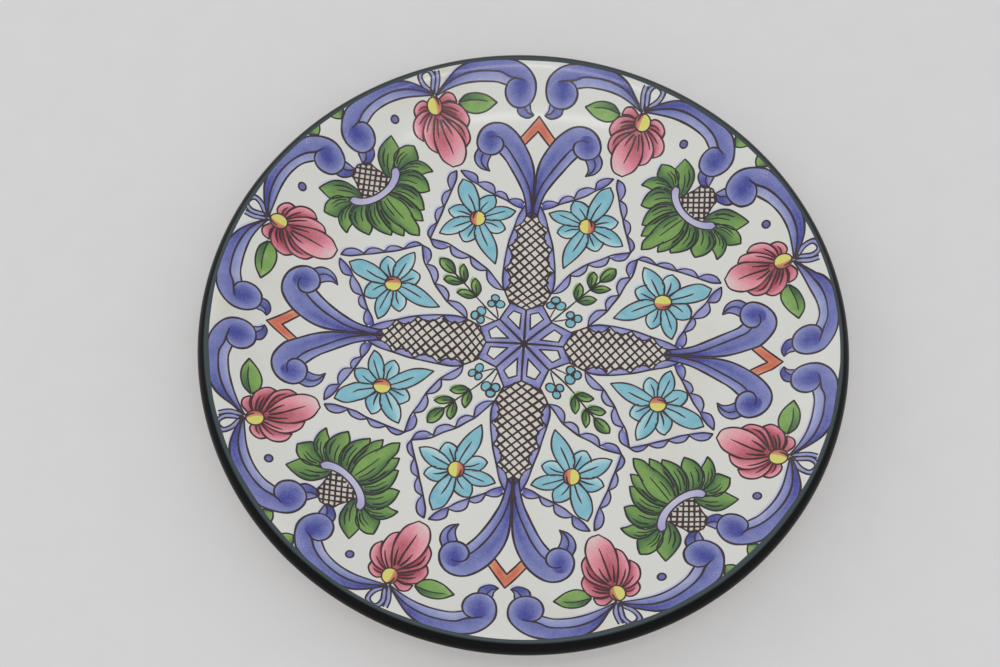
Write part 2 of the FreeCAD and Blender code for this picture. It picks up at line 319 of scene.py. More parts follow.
# Where the brush strayed from the plan, for each quarter and side: a place, then its move, both (right, up)
STRAYS = {
    (0, 1): (
        (6, 87, -0.8, 0.6), (33, 80, -1.0, -0.8), (45.5, 74, 1.0, -2.3), (34, 58, 0.8, 1.0),
        (16, 71, -0.7, 0.3), (16, 61, 0.8, 0.0), (25, 59.5, 0.4, 1.0), (19, 83, 0.3, 0.0),
        (7.5, 19.5, 0.2, -1.5),
    ),
    (0, -1): (
        (6, 87, 0.0, 0.6), (46, 74, 0.3, -0.7), (34, 58, -0.3, 0.7), (16, 70, -1.0, 0.3),
        (16, 60.5, -0.8, -0.3), (15, 83, -0.7, -0.3), (27, 61, -0.4, 0.4), (7.5, 19.5, 0.0, -1.5),
    ),
    (1, 1): (
        (6, 87, 0.2, 0.6), (34, 79, -1.0, -0.3), (23, 71, -0.9, 0.0), (27, 60.5, -0.9, 0.7),
        (46, 73.5, 0.3, -0.8), (47, 68, 0.0, -1.1), (15, 70, -0.9, 0.2), (16, 61, 0.0, 0.9),
        (24.5, 58.5, 0.0, 1.0), (17, 43, -0.5, 0.0), (23.5, 56, -0.8, 0.2),
    ),
    (1, -1): (
        (6, 86, -1.7, 0.8), (2, 79.5, -1.6, 0.7), (15, 83, -2.8, 2.9), (25.5, 81, -2.4, -0.9),
        (34, 79.5, -2.2, 0.9), (27, 61, -0.6, 2.2), (40, 74, -2.1, 0.0), (35, 84, -1.8, 0.5),
        (46.5, 73.5, -2.4, 0.2), (34, 58, 0.5, 1.4), (47, 68, -1.3, 0.7), (13, 76.5, -1.0, 1.2),
        (16, 68, -1.0, 1.0), (24.5, 59, -0.8, 2.0), (23.5, 55, 0.4, 0.9),
    ),
    (2, 1): (
        (7.5, 19.5, 0.0, 0.0), (27, 61, -0.5, 0.0), (34, 57.5, 0.4, -0.3), (17.5, 42.5, 0.3, 0.0),
    ),
    (2, -1): (
        (5, 87, -0.9, 0.1), (15, 83, -1.2, 0.3), (26, 81, -1.7, 0.0), (34, 79, -1.4, 0.4),
        (40, 73, -1.9, 0.0), (27, 61, -0.6, 0.0), (46, 73.5, -0.5, 0.0), (47, 67.5, -1.0, -0.2),
        (16, 69, -1.0, -0.2), (15, 60, -0.7, -0.9), (13, 76, 0.3, -0.7), (24, 57, -0.6, -0.4),
        (7.5, 19.5, 1.6, -0.3),
    ),
    (3, 1): (
        (6, 87, 0.0, 0.4), (15, 83, -1.2, 0.0), (26, 82, 0.8, 0.4), (34, 79.5, -1.1, 0.9),
        (27, 61, 0.3, 0.9), (40, 75, -0.7, 0.0), (46, 73.5, 1.1, 0.0), (34, 58, 0.5, 0.8),
        (47, 68, -0.3, 0.5), (16, 60.5, 0.2, -1.0), (25.5, 59, 0.6, 1.4), (30, 45, -0.7, 0.0),
        (17.5, 43, 0.0, -0.5), (7.5, 19.5, 0.0, -1.6),
    ),
    (3, -1): (
        (5, 87, -0.8, 0.4), (15, 83, -1.3, 0.8), (26, 81.5, -1.7, 0.0), (34, 79.5, -1.4, 0.0),
        (22.5, 71, -1.2, 0.0), (27, 61, -1.8, 0.4), (40, 74, -1.2, 0.0), (46, 73.5, -0.3, 0.0),
        (34, 58, -0.5, 0.5), (47, 68, -0.8, 0.4), (13, 76, -1.4, 0.0), (16, 69, -1.5, 0.2),
        (15, 60, -1.0, -0.2), (24.5, 59, -1.6, 0.3), (23.5, 56, -1.2, 0.0), (7.5, 19.5, 1.2, -1.5),
    ),
}
STRAY_REACH = 6.0


def stray_places():
    """The strays turned to their places on the plate, as two arrays: places and moves."""
    places, moves = [], []
    for (quarter, side), strays in STRAYS.items():
        across, up = (np.array(axis) * scale for axis, scale in zip(quarter_axes(quarter), (side, 1)))
        for right, high, move_right, move_high in strays:
            places.append(right * across + high * up)
            moves.append(move_right * across + move_high * up)
    return np.array(places), np.array(moves)


STRAY_PLACES, STRAY_MOVES = stray_places()


def hand_drift(points):
    """Points moved as an uneven hand would: by slow sines, and by the strays that are near.

    A stray's pull falls off as a bell curve of the distance; where several overlap they are averaged.
    """
    apart = np.linalg.norm(points[:, None, :] - STRAY_PLACES[None, :, :], axis=2)
    pull = np.exp(-((apart / STRAY_REACH) ** 2) / 2)
    points = points + (pull / np.maximum(1, pull.sum(axis=1, keepdims=True))) @ STRAY_MOVES
    x, y = points.T
    right = 0.16 * np.sin(x / 9.3 + y / 12.9 + 0.4) + 0.10 * np.sin(y / 4.7 - x / 8.1 + 2.1)
    up = 0.16 * np.sin(y / 8.7 - x / 14.1 + 1.1) + 0.10 * np.sin(x / 4.9 + y / 7.3 + 0.7)
    return points + np.stack([right, up], axis=1)


def under_band(points):
    """Points pulled in so that nothing painted reaches past the start of the black band."""
    radius = np.hypot(points[:, 0], points[:, 1])[:, None]
    return points * np.minimum(1, PAINT_RADIUS / np.maximum(radius, 1.0))


def film(mark):
    """A closed film between a mark's edges.

    Round each row, the place across is half of one minus cosine, and the height rises as a low power
    of the sine above the glaze and dips a little way into it below. A row where the edges meet is one
    point; an open end keeps its row and is closed by a fan.
    """
    one = under_band(hand_drift(mark["one"]))
    other = under_band(hand_drift(mark["other"]))
    columns = mark["columns"]
    turn = 2 * math.pi * np.arange(columns) / columns
    across = (1 - np.cos(turn)) / 2
    wave = np.sin(turn)
    rise = np.where(wave > 0, mark["rise"], -FILM_DEPTH) * np.abs(wave) ** FILM_SHOULDER
    ends = np.stack([(one[row] + other[row]) / 2 for row in (0, -1)])
    caps = surface(ends[:, 0], ends[:, 1], 0.0)
    gap = np.hypot(*(one - other).T)
    first, last = (0 if gap[0] > OPEN_END else 1), (len(one) if gap[-1] > OPEN_END else -1)
    along = np.linspace(0, 1, len(one))[first:last]
    one, other = one[first:last], other[first:last]
    rows = len(one)
    flat = one[:, None, :] * (1 - across[None, :, None]) + other[:, None, :] * across[None, :, None]
    body = surface(flat[..., 0], flat[..., 1], rise[None, :]).reshape(-1, 3)
    points = np.concatenate([caps[:1], body, caps[1:]])
    tone = spread(mark["tone"], along, across)
    tones = np.concatenate([[tone[0].mean()], tone.ravel(), [tone[-1].mean()]])
    ring = np.arange(columns)
    after = (ring + 1) % columns
    start = 1 + np.arange(rows - 1)[:, None] * columns
    quads = np.stack([start + ring, start + after, start + columns + after, start + columns + ring], axis=-1)
    last_ring = 1 + (rows - 1) * columns
    nobody = np.full(columns, -1)
    start_fan = np.stack([np.zeros(columns, int), 1 + after, 1 + ring, nobody], axis=1)
    last = np.full(columns, len(points) - 1)
    end_fan = np.stack([last, last_ring + ring, last_ring + after, nobody], axis=1)
    faces = np.concatenate([quads.reshape(-1, 4), start_fan, end_fan])
    middle = rows // 2
    run = one[middle + 1] - one[middle - 1] + other[middle + 1] - other[middle - 1]
    width = other[middle] - one[middle]
    if run[0] * width[1] - run[1] * width[0] > 0:
        faces = np.where(faces[:, 3:] < 0, faces[:, [0, 2, 1, 3]], faces[:, [0, 3, 2, 1]])
    return points, faces, tones


def new_mesh(name, points, faces, attributes=None):
    """A mesh from arrays, with the order of its faces: a face row of four holds -1 last for a triangle."""
    triangle = faces[:, 3] < 0
    sides = faces[~triangle].tolist() + faces[triangle, :3].tolist()
    mesh = bpy.data.meshes.new(name)
    mesh.from_pydata(points.tolist(), [], sides)
    for key, values in (attributes or {}).items():
        layer = mesh.attributes.new(key, "FLOAT", "POINT")
        layer.data.foreach_set("value", values.astype(np.float32))
    mesh.polygons.foreach_set("use_smooth", np.ones(len(mesh.polygons), bool))
    mesh.update()
    return mesh, np.concatenate([np.flatnonzero(~triangle), np.flatnonzero(triangle)])


def stand_in(name, mesh, node):
    """Put a finished mesh in the scene as the look of a CAD node."""
    piece = bpy.data.objects.new(name, mesh)
    bpy.context.scene.collection.objects.link(piece)
    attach(piece, "root")
    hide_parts(node)
    return piece


def paint(name, node, marks):
    """Make one piece from marks, with a material for each ink in it."""
    points, faces, tones, inks = [], [], [], []
    names = list(dict.fromkeys(mark["ink"] for mark in marks))
    start = 0
    for mark in marks:
        some_points, some_faces, tone = film(mark)
        points.append(some_points)
        faces.append(np.where(some_faces < 0, -1, some_faces + start))
        tones.append(tone)
        inks.append(np.full(len(some_faces), names.index(mark["ink"])))
        start += len(some_points)
    tone = {"tone": np.concatenate(tones)}
    mesh, order = new_mesh(name, np.concatenate(points), np.concatenate(faces), tone)
    for ink in names:
        mesh.materials.append(ink_material(ink))
    mesh.polygons.foreach_set("material_index", np.concatenate(inks)[order].astype(np.int32))
    mesh.set_sharp_from_angle(angle=SHARP_ANGLE)
    return stand_in(name, mesh, node)


# ---------------------------------------------------------------- the painted pattern
#
# Points are (right, up) in millimetres with the middle of the plate at (0, 0). A drawing "on the axis"
# is of the right half of a quarter whose middle line points up; one "on the diagonal" is turned to the
# line between two quarters. Each pair of edges runs the same way. A tone grid's rows run along a mark
# and its columns cross it, from 0 for bare glaze to 1 for deep enamel.


DISC_TONE = (
    (0.40, 0.40, 0.42, 0.40, 0.40),
    (0.42, 0.55, 0.68, 0.58, 0.44),
    (0.48, 0.85, 1.00, 0.88, 0.52),
    (0.62, 0.98, 1.00, 0.95, 0.60),
    (0.70, 0.85, 0.90, 0.80, 0.62),
)


def ball(centre, across, up, turn=0.0, layer=2, turned=False):
    """A flower's centre: yellow, and brown on the side by the axis, or the other when it is turned."""
    left, right = oval(centre, across, up, turn)
    dark = right if turned else left
    middle = left * 0.5 + right * 0.5
    swirl = (dark * 0.6 + middle * 0.4)[4:9]
    return [
        fill("yellow", left, right, ((0.6, 0.9, 0.6), (0.6, 1.0, 0.8), (0.6, 0.9, 0.6)), layer),
        fill("brown", dark, middle, ((0.9, 0.6, 0.5), (1.0, 0.75, 0.5), (1.0, 0.85, 0.5)), layer + 0.4),
        stroke(swirl, 1.2, layer + 0.4, "rose_line", ends=(1.5, 2.5)),
        stroke(left, 0.95, layer + 0.4),
        stroke(right, 0.95, layer + 0.4),
    ]


def star_flower(turned=False):
    """Four long petals over four short ones, on the axis; the centre may be turned over."""
    centre = np.array((17.6, 42.5))
    even = ((0.95, 0.9, 0.85, 0.95), (0.85, 0.75, 0.7, 0.9), (0.85, 0.9, 0.85, 0.95), (0.6, 0.8, 0.7, 0.6))
    pale_lower = ((0.95, 0.9, 0.6), (0.95, 0.8, 0.35), (1.0, 0.8, 0.25), (0.8, 0.5, 0.1))
    pale_tip = ((0.95, 0.95, 0.9), (0.9, 0.95, 0.85), (0.6, 0.65, 0.5), (0.1, 0.15, 0.1))
    short = (
        (
            [(15.3, 44.2), (12.4, 47.4), (12.2, 49.2), (12.9, 51.2)],
            [(17.4, 45.2), (17.6, 49.4), (16.5, 50.4), (14.8, 51.2), (12.9, 51.2)],
            [(16.7, 46.2), (15.9, 47.5), (14.9, 48.7)], even,
        ),
        (
            [(15.0, 42.6), (10.4, 42.3), (9.0, 40.9), (8.4, 39.6)],
            [(15.4, 40.6), (12.6, 37.9), (11.0, 37.8), (9.4, 38.5), (8.4, 39.6)],
            [(15.2, 41.4), (13.0, 41.1), (10.8, 40.1)], pale_lower,
        ),
        (
            [(20.0, 40.0), (23.2, 37.4), (22.7, 35.9), (21.6, 34.2)],
            [(17.9, 40.0), (18.0, 35.2), (19.3, 34.3), (20.6, 33.9), (21.6, 34.2)],
            [(18.8, 38.7), (19.6, 37.0), (20.1, 35.8)], pale_tip,
        ),
        (
            [(20.0, 44.2), (23.0, 46.9), (25.2, 46.4), (27.2, 44.8)],
            [(20.4, 42.8), (25.2, 42.2), (26.6, 43.4), (27.2, 44.8)],
            [(20.8, 43.7), (22.7, 44.3), (24.3, 44.5)], pale_lower,
        ),
    )
    long = (
        (
            [(17.4, 44.6), (17.6, 48.4), (18.7, 51.8), (20.6, 54.9), (23.7, 56.2)],
            [(19.6, 44.3), (21.7, 46.1), (24.2, 49.8), (24.9, 52.8), (23.7, 56.2)],
            [(18.9, 45.8), (19.9, 48.3), (21.4, 50.8)], even,
        ),
        (
            [(15.4, 44.4), (12.1, 47.1), (8.6, 47.3), (5.5, 46.1)],
            [(15.2, 42.3), (12.1, 42.3), (9.0, 43.0), (6.6, 44.5), (5.5, 46.1)],
            [(14.9, 43.6), (12.1, 44.7), (8.9, 45.9)], even,
        ),
        (
            [(17.9, 40.2), (18.2, 37.2), (16.6, 33.4), (13.8, 30.0), (10.9, 27.6)],
            [(15.4, 40.9), (12.6, 37.2), (10.9, 33.6), (10.5, 30.3), (10.9, 27.6)],
            [(16.6, 39.2), (15.2, 36.1), (13.6, 33.2)], even,
        ),
        (
            [(20.2, 42.7), (23.5, 42.6), (26.5, 40.9), (28.4, 38.5), (29.2, 36.4)],
            [(19.4, 40.2), (21.4, 38.2), (24.2, 36.5), (27.0, 36.0), (29.2, 36.4)],
            [(20.8, 40.8), (23.0, 39.8), (25.2, 38.7)], pale_lower,
        ),
    )
    marks = []
    for layer, petals in enumerate((short, long)):
        for one, other, vein, tone in petals:
            root = np.array(vein[0]) * 0.65 + centre * 0.35
            marks += outlined("turquoise", one, other, np.array(tone) * STAR_STRENGTH, layer)
            marks.append(stroke([root] + vein, 1.1, layer, ends=(0.6, 3.5)))
    return marks + ball(centre, 2.5, 2.65, turned=turned)


def rosebud():
    """A hanging bud of seven petals with its leaf and a looped ribbon, on the axis."""
    outer_left = ((1.0, 1.0, 1.0), (0.75, 0.9, 1.0), (0.5, 0.75, 0.95), (0.4, 0.6, 0.75))
    outer_right = ((0.9, 1.0, 1.0), (0.45, 0.75, 1.0), (0.35, 0.6, 0.9), (0.4, 0.6, 0.75))
    petals = (
        (
            0, [(32.6, 81.8), (30.5, 83.7), (28.4, 83.4), (27.1, 81.4)],
            [(32.4, 80.2), (29.8, 81.4), (27.1, 81.4)], ((0.8, 0.9), (0.5, 0.8), (0.45, 0.6)), (),
        ),
        (
            0, [(35.6, 79.5), (38.0, 80.2), (39.8, 79.0), (40.5, 76.9), (39.8, 75.2)],
            [(35.6, 77.8), (38.0, 77.0), (39.8, 75.2)], outer_right,
            [[(36.1, 78.6), (38.0, 78.3), (39.0, 77.4)]],
        ),
        (
            1, [(33.0, 79.8), (29.0, 81.0), (25.9, 80.4), (23.9, 78.5), (23.1, 76.4), (23.7, 74.3)],
            [(33.0, 78.2), (28.6, 77.2), (25.9, 76.0), (23.7, 74.3)], outer_left,
            [[(31.4, 79.4), (29.0, 79.4), (26.6, 78.7)], [(31.6, 78.5), (29.2, 78.3), (27.0, 77.5)]],
        ),
        (
            1, [(35.5, 78.0), (38.6, 76.3), (40.2, 74.0), (40.3, 71.4), (39.3, 69.2), (37.2, 67.8)],
            [(34.8, 77.6), (36.8, 73.8), (37.4, 70.6), (37.2, 67.8)], outer_right,
            [[(35.8, 77.0), (37.4, 75.3), (38.5, 73.3)]],
        ),
        (
            2, [(33.0, 78.2), (27.8, 76.5), (24.2, 74.4), (23.1, 72.2), (22.8, 70.0), (23.8, 67.7)],
            [(33.0, 77.2), (27.4, 73.2), (25.0, 70.4), (23.8, 67.7)], outer_left,
            [[(30.9, 76.3), (28.0, 75.3), (25.4, 73.4), (24.2, 71.0)]],
        ),
        (
            2, [(34.8, 77.8), (36.8, 73.9), (37.3, 70.5), (36.3, 67.2), (34.6, 65.0), (32.6, 64.2)],
            [(33.6, 77.4), (34.0, 71.5), (33.8, 68.0), (32.6, 64.2)],
            ((0.8, 0.8, 0.9), (0.55, 0.7, 0.9), (0.4, 0.6, 0.75), (0.4, 0.5, 0.6)),
            [[(34.9, 76.3), (35.9, 73.2), (36.2, 70.9)]],
        ),
        (
            3, [(32.6, 77.4), (27.9, 73.8), (24.8, 69.6), (23.6, 65.2), (24.6, 61.6), (27.3, 60.1)],
            [(33.6, 77.4), (34.2, 72.6), (33.9, 69.0), (32.8, 65.4), (30.7, 62.0), (27.3, 60.1)],
            (
                (0.95, 0.95, 0.95, 0.95), (0.75, 0.85, 0.9, 0.9), (0.5, 0.7, 0.85, 0.8),
                (0.4, 0.5, 0.7, 0.7), (0.3, 0.3, 0.42, 0.5), (0.2, 0.15, 0.2, 0.3),
            ),
            [
                [(32.1, 75.0), (30.8, 71.4), (29.2, 68.0), (27.6, 64.6)],
                [(31.4, 75.4), (29.6, 73.4), (28.2, 71.2)], [(33.1, 75.4), (32.9, 72.4), (32.4, 69.6)],
            ],
        ),
    )
    marks = []
    for layer, one, other, tone, veins in petals:
        tone = np.array(tone) * ROSE_CONTRAST + ROSE_OFFSET
        marks += outlined("rose", one, other, tone, layer, (), "rose_line")
        marks += [stroke(vein, 1.5, layer, "rose_line", ends=(0.6, 5.0)) for vein in veins]
    upper = [(26.4, 81.6), (24.3, 83.9), (21.5, 84.8), (18.3, 84.7), (14.7, 82.9)]
    middle = [(26.4, 81.4), (24.0, 82.2), (20.5, 82.9), (17.5, 82.9), (14.7, 82.9)]
    lower = [(26.4, 81.2), (24.3, 79.2), (21.7, 78.7), (18.3, 79.8), (14.7, 82.9)]
    marks += [
        fill("green", upper, middle, ((1.0, 1.0), (0.9, 1.0), (0.6, 0.7), (0.35, 0.5))),
        fill("green", middle, lower, ((0.9, 0.7), (0.55, 0.5), (0.6, 0.45), (0.4, 0.3))),
        stroke(upper, ink="leaf_line"),
        stroke(lower, ink="leaf_line"),
        stroke(middle[:4], 0.85, ink="leaf_line", ends=(0.8, 3.0)),
    ]
    loose_end = [(34.4, 82.2), (33.9, 84.6), (33.7, 87.2), (34.3, 89.6)]
    loop = [
        (34.8, 82.4), (36.6, 83.8), (38.8, 85.4), (39.8, 87.2), (38.9, 88.9), (37.0, 89.7), (35.6, 88.6),
        (35.2, 86.0), (35.0, 83.2),
    ]
    for ribbon in (loose_end, loop):
        marks += strand("blue", ribbon, 1.3, 0.5, 0, "blue_line")
    return marks + ball((34.1, 79.2), 2.4, 2.7, -20.0, 4)


def scroll(outline, band, lower, join, disc, tail, tail_line, tones, band_end):
    """A tapering band that curls into a disc, with a paler band inside it and a small forked tail.

    The paler band ends under the disc, at the join.
    """
    left, right = oval(*disc)
    marks = [
        fill("blue", outline[:band_end], band, tones, 0, 44),
        fill("blue", band[:len(lower) + 1] + [join], lower + [join], PALE_BAND_TONE, 0, 34),
        fill("blue", *tail, ((0.7, 0.8, 0.5), (0.95, 1.0, 0.5), (0.9, 0.9, 0.7))),
        fill("blue", left, right, DISC_TONE, 1),
    ]
    lines = [stroke(edge, 1.0, 0, "blue_line") for edge in (*tail, tail_line, lower)]
    lines.append(stroke(band[:len(lower)] + outline[-2:], 1.1, 1, "blue_line", ends=(1.0, 2.0)))
    lines.append(stroke(outline, 1.15, 1, "blue_line", ends=(1.0, 2.0)))
    return marks + lines


RIM_BAND_TONE = (
    (0.9, 1.0, 1.0), (0.95, 1.0, 1.0), (0.9, 1.0, 0.9), (0.8, 0.9, 0.8), (0.75, 0.8, 0.75),
    (0.7, 0.75, 0.8), (0.6, 0.75, 0.85), (0.6, 0.8, 0.9), (0.6, 0.8, 1.0),
)
PALE_BAND_TONE = ((0.95, 0.9), (0.85, 0.55), (0.65, 0.4), (0.55, 0.35), (0.6, 0.45))


def axis_rim_scroll():
    """The rim scroll beside a quarter's middle line, on the axis."""
    outline = [
        (34.0, 82.6), (31.0, 86.8), (28.0, 90.6), (24.0, 93.6), (19.0, 95.4), (13.0, 96.0), (8.0, 95.2),
        (4.2, 92.7), (2.1, 89.6), (1.9, 86.0), (3.6, 82.9), (6.6, 81.7), (9.6, 82.3), (11.6, 84.6),
        (11.9, 87.4), (10.7, 89.4), (8.6, 90.2), (6.0, 89.7),
    ]
    band = [
        (33.8, 82.6), (31.0, 85.8), (28.0, 88.2), (24.6, 90.0), (21.0, 91.2), (17.0, 91.8), (13.2, 91.7),
        (10.9, 90.6), (9.4, 89.4), (6.8, 88.0), (4.4, 86.4),
    ]
    lower = [
        (33.8, 82.4), (31.3, 84.0), (28.7, 85.5), (25.3, 87.0), (22.0, 88.0), (18.7, 88.6), (14.6, 88.8),
        (11.8, 88.2),
    ]
    tail = (
        [(7.8, 81.8), (7.4, 80.2), (5.6, 79.0), (3.6, 78.8), (1.9, 79.7)],
        [(3.4, 82.6), (3.1, 81.0), (1.9, 79.7)],
    )
    tail_line = [(2.0, 79.8), (3.9, 80.3), (5.2, 81.8)]
    disc = ((7.0, 86.0), 5.0, 4.4)
    return scroll(outline, band, lower, (9.6, 87.6), disc, tail, tail_line, RIM_BAND_TONE, 10)


def diagonal_rim_scroll():
    """The rim scroll beside the line between two quarters, on the diagonal."""
    outline = [
        (33.9, 83.1), (31.8, 87.3), (28.6, 91.6), (25.7, 93.6), (22.5, 94.7), (18.5, 95.6), (14.6, 96.0),
        (11.0, 96.2), (8.2, 95.8), (5.8, 94.5), (3.6, 92.6), (2.0, 90.4), (1.4, 88.0), (1.8, 85.5),
        (3.3, 83.0), (5.8, 82.0), (8.4, 82.5), (10.3, 84.4), (11.1, 87.0), (10.3, 89.3), (8.2, 90.4),
        (6.0, 90.1),
    ]
    band = [
        (33.8, 83.0), (30.7, 86.6), (28.4, 88.8), (25.7, 90.5), (22.2, 91.8), (18.4, 92.4), (14.5, 92.4),
        (11.5, 91.8), (8.8, 89.6), (6.0, 88.2), (3.6, 86.6),
    ]
    lower = [
        (33.8, 82.8), (30.7, 84.8), (27.6, 86.8), (24.5, 88.4), (21.1, 89.5), (17.2, 90.0), (14.2, 89.8),
        (11.1, 88.8),
    ]
    tail = (
        [(7.5, 82.3), (6.6, 80.4), (4.5, 79.2), (2.2, 79.1), (1.5, 79.9)],
        [(2.6, 83.3), (2.0, 81.5), (1.5, 79.9)],
    )
    tail_line = [(1.7, 80.1), (3.4, 80.7), (4.5, 81.9)]
    disc = ((6.2, 86.3), 4.95, 4.5)
    return scroll(outline, band, lower, (8.9, 87.8), disc, tail, tail_line, RIM_BAND_TONE, 13)


INNER_PALE_TONE = ((1.0, 0.95), (0.95, 0.7), (0.85, 0.5), (0.7, 0.4), (0.6, 0.5))


def inner_scroll():
    """The tall scroll that rises from the lattice and curls outwards, on the axis."""
    outline = [
        (0.25, 44.0), (0.3, 50.0), (0.3, 56.2), (0.5, 60.6), (1.6, 65.1), (3.4, 68.7), (6.2, 72.6),
        (9.1, 75.0), (12.5, 76.5), (16.0, 76.2), (18.6, 74.6), (20.2, 71.8), (20.4, 69.2), (19.2, 66.9),
        (16.6, 65.7), (13.9, 66.1), (12.1, 67.9), (11.8, 70.0), (12.7, 71.4), (14.4, 72.0), (16.6, 71.5),
    ]
    band = [
        (0.9, 44.0), (1.0, 50.0), (1.6, 53.8), (2.9, 57.3), (4.8, 60.7), (6.8, 63.9), (8.7, 66.4),
        (10.6, 68.5), (11.6, 70.0), (12.6, 71.4), (14.0, 72.0), (16.6, 71.5),
    ]
    dividing = [
        (0.4, 48.4), (1.3, 52.9), (2.7, 56.8), (4.6, 60.4), (6.6, 63.7), (8.5, 66.2), (10.4, 68.3),
        (11.8, 69.4),
    ]
    lower = [
        (1.7, 44.5), (2.2, 48.0), (3.2, 52.0), (4.9, 55.7), (6.8, 59.0), (8.8, 62.0), (11.0, 64.8),
        (12.6, 66.4),
    ]
    start, join = (0.9, 44.0), (13.2, 68.2)
    tail = (
        [(19.8, 67.6), (20.7, 65.0), (20.1, 62.6), (18.4, 60.9), (15.5, 60.1)],
        [(15.4, 65.7), (16.2, 63.6), (16.3, 61.8), (15.5, 60.1)],
    )
    tail_line = [(18.2, 65.7), (18.6, 64.0), (17.9, 62.1), (16.4, 60.6)]
    left, right = oval((16.0, 69.6), 4.4, 4.2)
    stem_tone = (
        (1.0, 1.0, 1.0), (0.95, 1.0, 1.0), (0.85, 1.0, 0.95), (0.65, 0.9, 0.75), (0.6, 0.85, 0.7),
        (0.6, 0.75, 0.75), (0.55, 0.7, 0.8), (0.55, 0.65, 0.85),
    )
    marks = [
        fill("blue", outline[:12], band, stem_tone, 0, 48),
        fill("blue", [start] + dividing + [join], lower + [join], INNER_PALE_TONE, 0, 38),
        fill("blue", *tail, ((0.7, 0.95, 0.6), (0.5, 0.8, 0.6), (0.8, 0.9, 0.8))),
        fill("blue", left, right, DISC_TONE, 1),
    ]
    lines = [stroke(edge, 1.0, 0, "blue_line") for edge in (*tail, tail_line)]
    lines += [stroke(edge, 1.2, 0, "blue_line") for edge in (dividing, lower)]
    lines.append(stroke(outline, 1.2, 1, "blue_line", ends=(1.0, 2.0)))
    return marks + lines


def lattice(widths, pitch, centre, wash):
    """Two sets of crossing lines over a buff wash, inside half widths that change up the axis.

    With u and v the sum and the difference of up and right, each over its pitch, the lines are where
    u or v lies half way between the openings. Each is cut where it leaves the half width.
    """
    ups, halves = np.array(widths).T
    across, along = pitch
    middle = centre / along + 0.5
    edge = np.stack([-halves, ups], axis=1)
    marks = [fill("buff", edge, edge * (-1, 1), wash, -0.3, 40)]
    for lean in (1, -1):
        lines = np.arange(math.floor(ups[0] / along) - 5, math.ceil(ups[-1] / along) + 5)
        for number in lines:
            right = np.linspace(-halves.max() - 1, halves.max() + 1, 120)
            wobble = 0.05 * math.sin(number * 5.3 + lean)
            up = (number + middle % 1 + wobble - lean * right / across) * along
            inside = np.abs(right) < np.interp(up, ups, halves, left=-1, right=-1)
            if inside.sum() > 8:
                ends = np.flatnonzero(inside)[[0, -1]]
                places = np.linspace(ends[0], ends[1], 4).astype(int)
                marks.append(stroke(np.stack([right, up], axis=1)[places], LATTICE_WIDTH, 0, "lattice"))
    return marks


CONE_SIDE = [
    (2.6, 48.3), (4.3, 44.8), (5.6, 40.0), (7.0, 35.0), (7.8, 30.0), (8.2, 26.0), (8.1, 22.0), (7.5, 19.5),
]


def lattice_cone():
    """The long lattice between the centre star and the inner scrolls, on the axis."""
    widths = (
        (12.2, 0.4), (14.7, 4.9), (19.5, 7.0), (23.0, 6.3), (26.5, 7.0), (30.0, 6.0), (33.7, 6.2),
        (37.0, 4.6), (40.3, 4.9), (43.0, 2.8), (46.0, 1.4),
    )
    foot = [(7.3, 19.4), (6.2, 17.0), (5.2, 14.6)]
    sides = [stroke(np.array(foot) * (side, 1), 1.0, 0, "lattice") for side in SIDES]
    return lattice(widths, (3.2, 2.95), 42.2, 0.45) + sides


